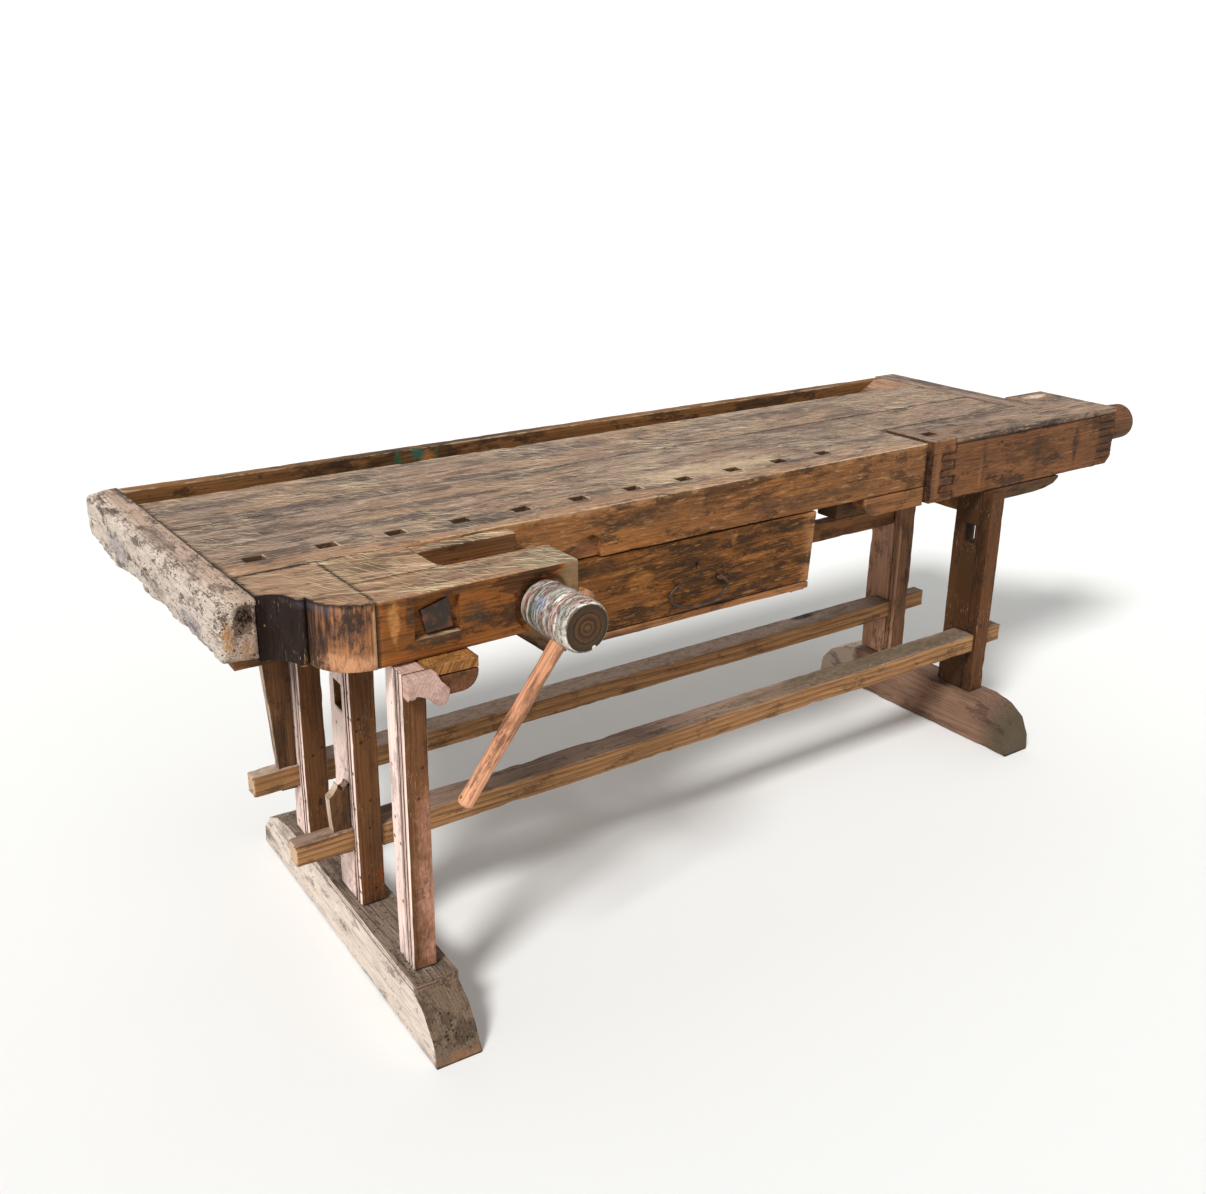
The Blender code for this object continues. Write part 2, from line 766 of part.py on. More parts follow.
def build_tail_vise(bench):
    """The sliding part of the tail vise, with its screw, and what carries it on the bench."""
    carrier = new_empty("tail_vise_slide", bench, (tail_end_x, tail_screw_y, screw_z))
    local = Vector((tail_end_x, tail_screw_y, screw_z))

    def span(low, high, axis):
        return (low - local[axis], high - local[axis])

    def piece(name, x, y, z, finish, bevel=0.0):
        return block(name, span(*x, 0), span(*y, 1), span(*z, 2), finish, carrier, bevel=bevel)

    board_back = tail_board_thickness
    jaw_right = tail_left + tail_jaw_width
    slots = finger_slots()
    left_tip = jaw_right - left_finger_length
    right_root = tail_right - right_finger_length

    jaw = piece("tail_jaw", (tail_left, jaw_right), (0.0, tail_depth), (tail_under, top_height),
                "orange_edge", bevel=vise_bevel)
    end_block = piece("tail_end_block", (tail_end_x, tail_right), (0.0, tail_end_back),
                      (tail_under, tail_board_top - gap), "orange_edge")
    cut(end_block, piece("front_board_seat", (tail_end_x - past, right_root),
                         (-past, board_back + gap), (tail_under - past, top_height), None))
    for k, (low, high) in enumerate(slots):
        cut(jaw, piece(f"jaw_notch_{k}", (left_tip - gap, jaw_right + past),
                       (-past, board_back + gap), (low, high), None))
        cut(end_block, piece(f"end_notch_{k}", (right_root - past, tail_right + past),
                             (-past, board_back + gap), (low, high), None))

    board_left = jaw_right + gap
    board_right = right_root - gap
    low_edge = tail_under
    high_edge = tail_board_top - gap
    outline = [(board_left, low_edge), (board_right, low_edge)]
    for low, high in slots:
        outline += [(board_right, low + gap), (tail_right, low + gap),
                    (tail_right, high - gap), (board_right, high - gap)]
    outline += [(board_right, high_edge), (board_left, high_edge)]
    for low, high in reversed(slots):
        outline += [(board_left, high - gap), (left_tip, high - gap),
                    (left_tip, low + gap), (board_left, low + gap)]
    outline = [(x - local.x, z - local.z) for x, z in outline]
    front_board = prism("tail_front_board", outline, "Y", span(0.0, board_back, 1),
                        "orange_edge", carrier)

    top = [(board_left, 0.0), (tail_right, 0.0), (tail_right, tail_end_back),
           (tail_end_x, tail_end_back), (tail_end_x, tail_depth), (board_left, tail_depth)]
    top = [(x - local.x, y - local.y) for x, y in top]
    top_board = prism("tail_top_board", top, "Z", span(tail_board_top, top_height, 2),
                      "worn_top", carrier)

    low_corner = [(tail_right + past, tail_under - past),
                  (tail_right + past, tail_under + tail_end_chamfer + past),
                  (tail_right - tail_end_chamfer - past, tail_under - past)]
    low_corner = [(x - local.x, z - local.z) for x, z in low_corner]
    chamfer = prism("end_chamfer", low_corner, "Y", span(-past, tail_end_back + past, 1), None, carrier)
    cut(end_block, chamfer)
    cut(front_board, chamfer)

    cut(jaw, block("tail_dog_hole",
                   span(tail_dog_x - dog_hole_length / 2, tail_dog_x + dog_hole_length / 2, 0),
                   span(tail_dog_y - dog_hole_width / 2, tail_dog_y + dog_hole_width / 2, 1),
                   span(tail_under - past, top_height + past, 2), None, carrier))

    rail_top = slab_under - guide_rail_drop
    rail_z = (rail_top - guide_rail_height, rail_top)
    rail_y = (guide_rail_y, guide_rail_y + guide_rail_width)
    rail = piece("tail_guide_rail", (guide_rail_start, tail_end_x + guide_tenon), rail_y, rail_z,
                 "pine", bevel=small_bevel)
    cut(end_block, piece("guide_mortise", (tail_end_x - past, tail_end_x + guide_tenon + gap),
                         (rail_y[0] - gap, rail_y[1] + gap), (rail_z[0] - gap, rail_z[1] + gap), None))
    pin = (tail_right - end_pin_inset - local.x, guide_rail_y + guide_rail_width / 2 - local.y, 0.0)
    pin_low = rail_z[0] + end_pin_seat - local.z
    pin_high = top_height - end_pin_sink - local.z
    pin_hole = end_pin_radius + gap
    turned("tail_end_pin", [(pin_low, 0), (pin_low, end_pin_radius), (pin_high, end_pin_radius),
                            (pin_high, 0)], (0, 0, 1), pin, "red_brown", carrier, sides=16)
    pin_bore = turned("pin_bore", [(pin_low - gap, 0), (pin_low - gap, pin_hole), (far_past, pin_hole),
                                   (far_past, 0)], (0, 0, 1), pin, None, carrier, sides=16)
    for obj in (end_block, top_board, rail):
        cut(obj, pin_bore)

    bore = screw_radius + bore_clearance
    bore_profile = [(-far_past, 0), (-far_past, bore), (far_past, bore), (far_past, 0)]
    cut(end_block, turned("tail_neck_bore", bore_profile, (1, 0, 0), (0, 0, 0), None, carrier))
    key_x = tail_right - key_x_inset
    key_half = key_thickness / 2
    groove = (tail_right + gap - key_x - key_half - gap, tail_right + gap - key_x + key_half + gap)
    key_y = screw_radius + key_side_reach
    key = block("tail_garter_key", span(key_x - key_half, key_x + key_half, 0), (-key_y, key_y),
                span(tail_under + key_sink, screw_z - key_top_gap, 2), "pine", carrier)
    neck = screw_radius - thread_depth - garter_depth + gap
    cut(key, turned("key_notch", [(-far_past, 0), (-far_past, neck), (far_past, neck), (far_past, 0)],
                    (1, 0, 0), (0, 0, 0), None, carrier))
    cut(end_block, block("key_slot", span(key_x - key_half - gap, key_x + key_half + gap, 0),
                         (-key_y - gap, key_y + gap), span(tail_under - past, screw_z - key_top_gap / 2, 2),
                         None, carrier))

    head_back = tail_right + gap
    bar_x = head_back + head_length * tail_bar_place - local.x
    hole = bar_radius + bar_clearance
    bar_hole = turned("tail_bar_hole", [(-far_past, 0), (-far_past, hole), (far_past, hole), (far_past, 0)],
                      (0, 0, 1), (bar_x, 0, 0), None, carrier)
    shaft = head_back - (bench_length - tail_shaft_reach)
    threaded_screw("tail_screw", shaft, groove, 0.0, bar_hole, (-1, 0, 0),
                   (head_back - local.x, 0, 0), "red_brown", carrier)

    nut = block("tail_nut_block", (right_cap_x, bench_length),
                (board_back + nut_play, tail_slab_front - gap),
                (tail_under + nut_underhang, tail_board_top - nut_play), "pine", bench)
    cut(nut, turned("tail_nut_bore", bore_profile, (1, 0, 0),
                    (bench_length, tail_screw_y, screw_z), None, bench))

    play = keeper_play
    keeper = block("tail_rail_keeper", (keeper_x, keeper_x + keeper_length),
                   (rail_y[0] - play - keeper_wall, rail_y[1] + play + keeper_wall),
                   (rail_z[0] - play - keeper_wall, slab_under - gap), "pine", bench)
    cut(keeper, block("keeper_hole", (keeper_x - past, keeper_x + keeper_length + past),
                      (rail_y[0] - play, rail_y[1] + play), (rail_z[0] - play, rail_z[1] + play),
                      None, bench))


def foot_outline(front, back, toe_length, toe_shape):
    """Side view of a sled foot, in Y and Z: a shaped toe, a flat top and a rounded heel.

    Shape points are shares of the toe's or heel's own length and of the foot's height."""
    toe = [(front + u * toe_length, v * foot_height) for u, v in toe_shape]
    heel_shape = [(1.0, 1.0), (0.57, 0.88), (0.23, 0.655), (0.03, 0.345), (0.0, 0.0)]
    heel = [(back - u * heel_length, v * foot_height) for u, v in heel_shape]
    return toe + heel


def leg(name, x, y, z, frame, finish, cutters):
    """A leg with two bead lines down its outer face; cutters are its mortises and holes."""
    obj = block(name, x, y, z, finish, frame, bevel=small_bevel)
    for k in range(2):
        line = y[0] + leg_bead_inset + k * leg_bead_spacing
        groove = block(f"{name}_bead_{k}", (x[0] - past, x[0] + leg_bead_depth),
                       (line, line + leg_bead_width), (z[0] - past, z[1] + past), None, frame)
        cut(obj, groove)
    cut(obj, *cutters)
    return obj


def left_leg_face(y):
    """Where the turned left trestle's outer leg faces cross the line Y = y."""
    return left_foot_x + leg_inset - (y - left_turn_y) * math.tan(math.radians(left_turn))


def left_y(y):
    """A bench Y value in the frame of the turned left trestle."""
    return y - left_turn_y


def build_ties(bench, left):
    """The two stretchers and the rail behind the drawer. Returns the cutters for their mortises."""
    body_x = (left_foot_x, right_foot_x + leg_inset - gap)
    shoulder = block("left_shoulder_cutter", (-far_past, leg_inner + gap), (-far_past, 2 * far_past),
                     (0.0, 2 * far_past), None, left)
    tenon_cutters = []
    tenon_z = (stretcher_z + stretcher_tenon_shoulder,
               stretcher_z + stretcher_height - stretcher_tenon_shoulder)
    for name, y, out_left, out_right in (
            ("front_stretcher", front_stretcher_y, front_tenon_out_left, front_tenon_out_right),
            ("rear_stretcher", rear_stretcher_y, rear_tenon_out_left, rear_tenon_out_right)):
        left_end = left_leg_face(y) - out_left
        right_end = right_foot_x + leg_inner + out_right
        inset = (stretcher_width - stretcher_tenon_width) / 2
        tenon_y = (y + inset, y + stretcher_width - inset)
        body = block(name, body_x, (y, y + stretcher_width),
                     (stretcher_z, stretcher_z + stretcher_height), "pine", bench, bevel=small_bevel)
        cut(body, shoulder)
        fuse(body, block(name + "_tenon", (left_end, right_end), tenon_y, tenon_z, None, bench))
        tenon_cutters.append(block(name + "_mortise", (left_end - past, right_end + past),
                                   (tenon_y[0] - tenon_play, tenon_y[1] + tenon_play),
                                   (tenon_z[0] - tenon_play, tenon_z[1] + tenon_play), None, bench))

    rail_y = (under_rail_y, under_rail_y + under_rail_width)
    rail_z = (under_rail_z, under_rail_z + under_rail_height)
    rail = block("drawer_back_rail", body_x, rail_y, rail_z, "red_brown", bench, bevel=small_bevel)
    cut(rail, shoulder)
    tenon_x = (left_leg_face(under_rail_y) + leg_width - under_rail_tenon,
               right_foot_x + leg_inset + under_rail_tenon)
    tenon_y = (rail_y[0] + under_rail_shoulder, rail_y[1] - under_rail_shoulder)
    tenon_z = (rail_z[0] + under_rail_shoulder, rail_z[1] - under_rail_shoulder)
    fuse(rail, block("under_rail_tenon", tenon_x, tenon_y, tenon_z, None, bench))
    under_mortise = block("under_rail_mortise", (tenon_x[0] - tenon_play, tenon_x[1] + tenon_play),
                          (tenon_y[0] - tenon_play, tenon_y[1] + tenon_play),
                          (tenon_z[0] - tenon_play, tenon_z[1] + tenon_play), None, bench)
    return tenon_cutters, under_mortise


def build_left_trestle(left, tenon_cutters, under_mortise):
    """The turned trestle: foot, post under the shoulder arm with its corbel, two legs and boards."""
    leg_x = (leg_inset, leg_inner)
    foot_top = foot_height + gap
    stepped_toe = [(0.0, 0.0), (0.05, 0.17), (0.22, 0.42), (0.56, 0.70), (0.99, 0.85), (1.0, 1.0)]
    outline = foot_outline(left_foot_front, left_foot_back, left_toe_length, stepped_toe)
    outline = [(left_y(y), z) for y, z in outline]
    prism("left_foot", outline, "X", (0.0, foot_width), "grey_foot", left, bevel=foot_bevel)

    post_x = (leg_inset, leg_inset + post_width)
    post_y = (left_y(post_front), left_y(post_front + post_depth))
    post_top = shoulder_under - post_drop
    leg("left_vise_post", post_x, post_y, (foot_top, post_top), left, "pink_leg", [])

    # Scroll of the corbel, in shares of its reach and height from its lower left corner
    scroll = [(0.01, 1.0), (0.01, 0.31), (0.19, 0.33)]
    scroll += smooth_line([(0.24, 0.40), (0.38, 0.33), (0.50, 0.24), (0.61, 0.09), (0.74, 0.0),
                           (0.88, 0.02), (0.99, 0.26), (1.0, 0.45)], 2)
    scroll += [(0.81, 0.72), (0.70, 1.0)]
    scroll = [(leg_inset + u * corbel_reach, post_top - (1.0 - v) * corbel_height) for u, v in scroll]
    prism("post_corbel", scroll, "Y", (post_y[0] - corbel_thickness - gap, post_y[0] - gap),
          "pink_leg", left)

    packing_under = shoulder_under - gap - packing_thickness
    rail_top = packing_under - gap
    hole_y = (left_y(square_hole_y), left_y(square_hole_y + square_hole_width))
    hole = block("left_square_hole", (-past, foot_width + past), hole_y,
                 (square_hole_z, square_hole_z + square_hole_height), None, left)
    front_y = (left_y(left_front_leg_y), left_y(left_front_leg_y + left_front_leg_depth))
    rear_y = (left_y(left_rear_leg_y), left_y(left_rear_leg_y + left_rear_leg_depth))
    leg("left_front_leg", leg_x, front_y, (foot_top, rail_top), left, "pink_leg", [*tenon_cutters, hole])
    leg("left_rear_leg", leg_x, rear_y, (foot_top, top_bearer_under - gap), left, "pink_leg",
        [*tenon_cutters, under_mortise])

    rail_x = (leg_inner + gap, leg_inner + gap + top_rail_width)
    rail_low = rail_top - top_rail_height
    rail = [(rail_x[0], rail_low), (rail_x[0], rail_top), (rail_x[1], rail_top)]
    rail += arc((rail_x[1] - top_rail_round, rail_low + top_rail_round), top_rail_round, 0, -90, 6)
    prism("left_top_rail", rail, "Y", (post_y[0], rear_y[1]), "red_brown", left)
    packing_z = (packing_under, shoulder_under - gap)
    block("left_packing_board", (post_x[1] + gap, rail_x[1]), (post_y[0], left_y(packing_board_back)),
          packing_z, "pale_board", left)
    bearer_y = (left_y(bearer_board_front), left_y(bearer_board_front) + bearer_board_depth)
    block("left_bearer_board", (bearer_board_left - left_foot_x, rail_x[1]), bearer_y, packing_z,
          "pine", left, bevel=small_bevel)
    block("left_top_bearer", (leg_inset - bearer_overhang, leg_inner),
          (left_y(front_edge_width + bearer_front_gap), left_y(top_bearer_back)),
          (top_bearer_under, slab_under - gap), "pine", left, bevel=small_bevel)


def build_right_trestle(right, tenon_cutters, under_mortise):
    """The trestle at the tail vise: foot, two legs, rail, bearer and the vise's rubbing shoe."""
    leg_x = (leg_inset, leg_inner)
    foot_top = foot_height + gap
    round_toe = [(0.0, 0.0), (0.03, 0.34), (0.21, 0.69), (0.55, 0.91), (1.0, 1.0)]
    outline = foot_outline(right_foot_front, right_foot_back, right_toe_length, round_toe)
    prism("right_foot", outline, "X", (0.0, foot_width), "grey_foot", right, bevel=foot_bevel)

    carriage_seat = tail_under - 2 * gap
    front_y = (right_front_leg_y, right_front_leg_y + right_front_leg_depth)
    rear_y = (right_rear_leg_y, right_rear_leg_y + right_rear_leg_depth)
    hole = block("right_square_hole", (-past, foot_width + past),
                 (square_hole_y, square_hole_y + square_hole_width),
                 (square_hole_z, square_hole_z + square_hole_height), None, right)
    leg("right_front_leg", leg_x, front_y, (foot_top, carriage_seat), right, "pine",
        [*tenon_cutters, hole])
    leg("right_rear_leg", leg_x, rear_y, (foot_top, top_bearer_under - gap), right, "pink_leg",
        [*tenon_cutters, under_mortise])
    rail_top = carriage_seat - right_rail_drop
    block("right_top_rail", (leg_inset + right_rail_inset, leg_inner - right_rail_inset),
          (front_y[1] + gap, rear_y[0] - gap), (rail_top - right_rail_height, rail_top), "pine", right)
    block("right_top_bearer", (leg_inset - bearer_overhang, leg_inner),
          (tail_end_back + small_bevel, top_bearer_back),
          (top_bearer_under, slab_under - gap), "pine", right, bevel=small_bevel)

    # The shoe's rounded end, in shares of the rounding's length and the shoe's height
    shoe_x = (leg_inner + gap, leg_inner + gap + shoe_length)
    shoe_z = (carriage_seat - shoe_height, carriage_seat)
    rounding = smooth_line([(0.0, 0.74), (0.21, 0.32), (0.59, 0.10), (1.0, 0.0)], 3)
    shoe = [(shoe_x[0], shoe_z[0]), (shoe_x[0], shoe_z[1]), (shoe_x[1], shoe_z[1])]
    shoe += [(shoe_x[1] - u * shoe_round_length, shoe_z[0] + v * shoe_height) for u, v in rounding]
    prism("tail_vise_shoe", shoe, "Y", (0.0, shoe_width), "red_brown", right)


def build_wedges(left):
    """Upright wedges through the left tenons, against the outer faces of the left legs."""
    leg_face = leg_inset - gap
    foot_x = leg_face - wedge_foot_width
    low = stretcher_z - wedge_below
    for name, y, rise in (("rear_wedge", rear_stretcher_y, rear_wedge_rise),
                          ("front_wedge", front_stretcher_y, front_wedge_rise)):
        middle = left_y(y + stretcher_width / 2)
        top = stretcher_z + stretcher_height + rise
        wide_x = foot_x - wedge_taper * (top - low)
        outline = [(foot_x, low), (leg_face, low), (leg_face, top)]
        if name == "front_wedge":
            # Its top is split off in a jagged line
            outline += [(leg_face - 0.42 * wedge_foot_width, top - 0.6 * wedge_split),
                        (leg_face - 0.60 * wedge_foot_width, top),
                        (leg_face - 0.95 * wedge_foot_width, top - wedge_split)]
            outline.append((wide_x + 0.1 * wedge_foot_width, top - 1.4 * wedge_split))
        else:
            outline.append((wide_x, top))
        half = wedge_thickness / 2
        prism(name, outline, "Y", (middle - half, middle + half), "pine", left)
        slot = [(foot_x - wedge_play, low), (foot_x - wedge_play, low - past),
                (leg_face + gap, low - past), (leg_face + gap, top),
                (wide_x - wedge_play, top)]
        tool = prism(name + "_slot", slot, "Y", (middle - half - wedge_play, middle + half + wedge_play),
                     None, left)
        cut(bpy.data.objects[name.replace("wedge", "stretcher")], tool)


def build_drawer(bench):
    """The drawer with its lock and iron bail, and the runners that carry it."""
    carrier = new_empty("drawer_slide", bench, (drawer_left, drawer_front_y, drawer_bottom_z))
    local = Vector((drawer_left, drawer_front_y, drawer_bottom_z))
    width = drawer_width
    floor = (0.0, drawer_bottom_thickness)
    above = drawer_bottom_thickness + gap
    top = drawer_top - local.z
    side_top = top - drawer_side_drop
    front_back = drawer_front_thickness
    depth = drawer_depth
    side = drawer_side_thickness

    block("drawer_bottom", (0.0, width), (0.0, depth), floor, "pale_board", carrier)
    outline = [(0.0, above), (width, above), (width + drawer_flare, top), (0.0, top)]
    face = prism("drawer_front", outline, "Y", (0.0, front_back - gap), "red_brown", carrier)
    inset = drawer_side_inset
    side_y = (front_back, depth)
    block("drawer_side_left", (inset, inset + side), side_y, (above, side_top), "pine", carrier)
    block("drawer_side_right", (width - inset - side, width - inset), side_y, (above, side_top),
          "pine", carrier)
    block("drawer_back", (inset + side + gap, width - inset - side - gap), (depth - side, depth),
          (above, side_top), "pine", carrier)

    middle = width / 2
    key_z = top - keyhole_drop
    slot_half = keyhole_slot_width / 2
    mouth = math.degrees(math.acos(slot_half / keyhole_radius))
    keyhole = [(middle - slot_half, key_z - keyhole_slot), (middle + slot_half, key_z - keyhole_slot)]
    keyhole += arc((middle, key_z), keyhole_radius, -mouth, 180 + mouth, 10)
    cut(face, prism("keyhole", keyhole, "Y", (-past, front_back), None, carrier))
    lock_y = (front_back, front_back + lock_thickness)
    block("drawer_lock", (middle - lock_width / 2, middle + lock_width / 2), lock_y,
          (key_z + lock_above_key - lock_height, key_z + lock_above_key), "dark_iron", carrier)

    axis_z = top - bail_drop
    half_open = math.radians(bail_opening)
    end_x = bail_half_width * math.sin(half_open)
    end_z = bail_half_height * math.cos(half_open)
    lug_x = end_x - 0.5 * lug_width
    swing = new_empty("bail_swing", carrier, (middle, -bail_stand_off, axis_z))
    ends = [(lug_x - lug_width, 0.0), (lug_x + lug_width, 0.0)]
    sweep = []
    steps = 22
    for i in range(1, steps):
        angle = half_open + (2 * math.pi - 2 * half_open) * i / steps
        sweep.append((bail_half_width * math.sin(angle), bail_half_height * math.cos(angle) - end_z))
    points = [ends[0], ends[1]] + sweep + [(-x, z) for x, z in reversed(ends)]
    curve = bpy.data.curves.new("drawer_bail", "CURVE")
    curve.dimensions = "3D"
    curve.bevel_depth = bail_wire
    curve.bevel_resolution = 1
    curve.use_fill_caps = True
    spline = curve.splines.new("POLY")
    spline.points.add(len(points) - 1)
    for point, (x, z) in zip(spline.points, points):
        point.co = (x, 0.0, z, 1.0)
        fullness = max(0.0, -z / (2 * bail_half_height) - 0.5)
        middle_share = max(0.0, 1.0 - abs(x) / (bail_grip_share * bail_half_width))
        point.radius = 1.0 + bail_grip_swell * fullness * middle_share
    bail = bpy.data.objects.new("drawer_bail", curve)
    bpy.context.collection.objects.link(bail)
    curve.materials.append(finish_material("dark_iron"))
    bail.parent = swing

    eye = bail_wire + bail_eye_play
    for name, sign in (("bail_lug_left", -1), ("bail_lug_right", 1)):
        centre = (middle + sign * lug_x, -bail_stand_off, axis_z)
        half = lug_width / 2
        outline = [(-gap, axis_z - lug_radius), (-gap, axis_z + lug_radius)]
        outline += arc((-bail_stand_off, axis_z), lug_nose_radius, 90, 270, 8)
        lug = prism(name, outline, "X", (centre[0] - half, centre[0] + half), "dark_iron", carrier)
        cut(lug, turned(name + "_eye", [(-past, 0), (-past, eye), (past, eye), (past, 0)],
                        (1, 0, 0), centre, None, carrier, sides=12))

    # Runners: a web beside the drawer and a ledge under it, let into the rail behind
    web_y = (runner_front, under_rail_y - gap)
    ledge_z = (drawer_bottom_z - runner_height, drawer_bottom_z - gap)
    for name, face_x, sign in (("drawer_runner_left", drawer_left - drawer_play, -1),
                               ("drawer_runner_right", drawer_right + drawer_play, 1)):
        far = face_x + sign * runner_web
        near_x = face_x - sign * runner_ledge
        profile = [(near_x, ledge_z[0]), (near_x, ledge_z[1]), (face_x, ledge_z[1]),
                   (face_x, edge_under - gap), (far, edge_under - gap), (far, ledge_z[0])]
        prism(name, profile, "Y", web_y, "pine", bench)


def main():
    clear_scene()
    left_reach = left_cap_width
    right_reach = tail_right + gap + head_length
    turn = math.radians(left_turn)
    toe = (left_foot_front - left_turn_y) * math.cos(turn) + foot_width * math.sin(turn)
    front_reach = -(left_turn_y + toe)
    middle_x = (right_reach - left_reach) / 2
    middle_y = (bench_back - front_reach) / 2
    bench = new_empty("bench", None, (-middle_x, -middle_y, 0.0))
    build_top(bench)
    build_pieces_under_strip(bench)
    build_shoulder(bench)
    build_shoulder_vise(bench)
    build_tail_vise(bench)
    left = new_empty("left_trestle", bench, (left_foot_x, left_turn_y, 0.0), left_turn)
    right = new_empty("right_trestle", bench, (right_foot_x, 0.0, 0.0))
    tenon_cutters, under_mortise = build_ties(bench, left)
    build_left_trestle(left, tenon_cutters, under_mortise)
    build_right_trestle(right, tenon_cutters, under_mortise)
    build_wedges(left)
    build_drawer(bench)


main()
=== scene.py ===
import math

import bmesh
import bpy
import numpy as np
from mathutils import Matrix, Vector


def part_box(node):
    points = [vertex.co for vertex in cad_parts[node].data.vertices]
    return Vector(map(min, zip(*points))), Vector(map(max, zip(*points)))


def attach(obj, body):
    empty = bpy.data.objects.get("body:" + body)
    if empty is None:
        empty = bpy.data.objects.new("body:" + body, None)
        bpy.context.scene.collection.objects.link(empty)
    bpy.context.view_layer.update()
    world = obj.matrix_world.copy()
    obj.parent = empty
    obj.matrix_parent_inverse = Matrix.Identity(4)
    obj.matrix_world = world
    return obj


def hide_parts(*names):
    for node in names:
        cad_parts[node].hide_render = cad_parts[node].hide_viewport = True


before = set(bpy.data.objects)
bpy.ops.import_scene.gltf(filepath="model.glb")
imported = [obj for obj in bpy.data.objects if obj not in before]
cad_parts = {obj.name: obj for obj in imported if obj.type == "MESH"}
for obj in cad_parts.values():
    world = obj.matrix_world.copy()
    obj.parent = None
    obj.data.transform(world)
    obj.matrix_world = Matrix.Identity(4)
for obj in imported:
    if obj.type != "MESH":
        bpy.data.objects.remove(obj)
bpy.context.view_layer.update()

print("frame loaded:", len(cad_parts), "nodes")

# The bench frame of all numbers below: X from the left cap's inner face, Y from the front edge, Z from the floor
benchFrame = dict(jawX=1.622, trestleX=0.142, trestleY=-0.300, trestleTurn=2.5)   # the left trestle stands askew
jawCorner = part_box("tail_jaw")[0]
home = Matrix.Translation((jawCorner[0] - benchFrame["jawX"], jawCorner[1], 0.0))
leftTrestle = home @ Matrix.Translation((benchFrame["trestleX"], benchFrame["trestleY"], 0.0))
leftTrestle = leftTrestle @ Matrix.Rotation(math.radians(-benchFrame["trestleTurn"]), 4, "Z")

# How all carved wood is worn: sizes of the noises in metres, the cosine under which a corner counts as straight,
# the greatest wear as a share of a side, and the wear under which a corner holds dirt and isn't rubbed pale
carving = dict(slow=0.09, fine=0.021, swell=0.07, ripple=0.016, capSwell=0.06, capRipple=0.02, capFade=0.012,
               grainStretch=0.35, straight=-0.82, mostWorn=0.45, hardlyWorn=0.0018, endTurns=(0.0, 35.0, 65.0))
latticeMixers = (374761393, 668265263, 2147483647, 1274126177)
wordMask, halfMask = 0xFFFFFFFF, 0xFFFF
farOff = 9.0   # farther than any point of the bench


def latticeValue(ix, iy, iz):
    # a repeatable value from -1 to 1 for each lattice point: integer mixing of its three indices
    h = (ix * latticeMixers[0] + iy * latticeMixers[1] + iz * latticeMixers[2]) & wordMask
    h = ((h ^ (h >> 13)) * latticeMixers[3]) & wordMask
    h = h ^ (h >> 16)
    return (h & halfMask) / (halfMask / 2) - 1.0


def softNoise(points, size, seed=0.0):
    # values on a lattice of step size, blended between its corners by 3f^2 - 2f^3 on each axis
    q = points / size + seed * 19.37
    base = np.floor(q).astype(np.int64)
    f = q - base
    f = f * f * (3.0 - 2.0 * f)
    total = np.zeros(len(points))
    for corner in np.ndindex(2, 2, 2):
        weight = np.prod(np.where(np.array(corner), f, 1.0 - f), axis=1)
        total += weight * latticeValue(*(base + np.array(corner)).T)
    return total


def seedOf(name):
    # a fixed number for each name, so that no two pieces wear alike
    return (sum(ord(c) * (i + 3) for i, c in enumerate(name)) % 997) / 97.0


def rect(u, v):
    return [(u[0], v[0]), (u[1], v[0]), (u[1], v[1]), (u[0], v[1])]


def arcPoints(cx, cy, radius, start, end, steps):
    a = np.radians(np.linspace(start, end, steps + 1))
    return list(zip(cx + radius * np.cos(a), cy + radius * np.sin(a)))


def meshFrom(name, verts, faces):
    mesh = bpy.data.meshes.new(name)
    mesh.from_pydata(verts.tolist(), [], faces)
    mesh.polygons.foreach_set("use_smooth", np.ones(len(mesh.polygons), bool))
    mesh.update()
    return mesh


def pointsOf(mesh):
    points = np.empty(len(mesh.vertices) * 3)
    mesh.vertices.foreach_get("co", points)
    return points.reshape(-1, 3)


def turnOut(mesh):
    # makes every face look outwards
    bm = bmesh.new()
    bm.from_mesh(mesh)
    bmesh.ops.recalc_face_normals(bm, faces=bm.faces)
    if bm.calc_volume(signed=True) < 0:
        bmesh.ops.reverse_faces(bm, faces=bm.faces)
    bm.to_mesh(mesh)
    bm.free()


def gridFaces(rows, columns):
    # quads of a grid that closes on itself across its columns
    r, c = np.meshgrid(np.arange(rows - 1), np.arange(columns), indexing="ij")
    n = (c + 1) % columns
    quads = np.stack([r * columns + c, r * columns + n, (r + 1) * columns + n, (r + 1) * columns + c], axis=-1)
    return quads.reshape(-1, 4)


def closedTube(name, points, rows, columns, smoothSides=True, smoothEnds=False):
    # rows rings of columns points each, closed by one face at each end
    faces = gridFaces(rows, columns).tolist()
    smooth = np.full(len(faces) + 2, smoothSides)
    smooth[-2:] = smoothEnds
    faces += [list(range(columns)), list(range((rows - 1) * columns, rows * columns))]
    mesh = meshFrom(name, points, faces)
    mesh.polygons.foreach_set("use_smooth", smooth)
    turnOut(mesh)
    return mesh


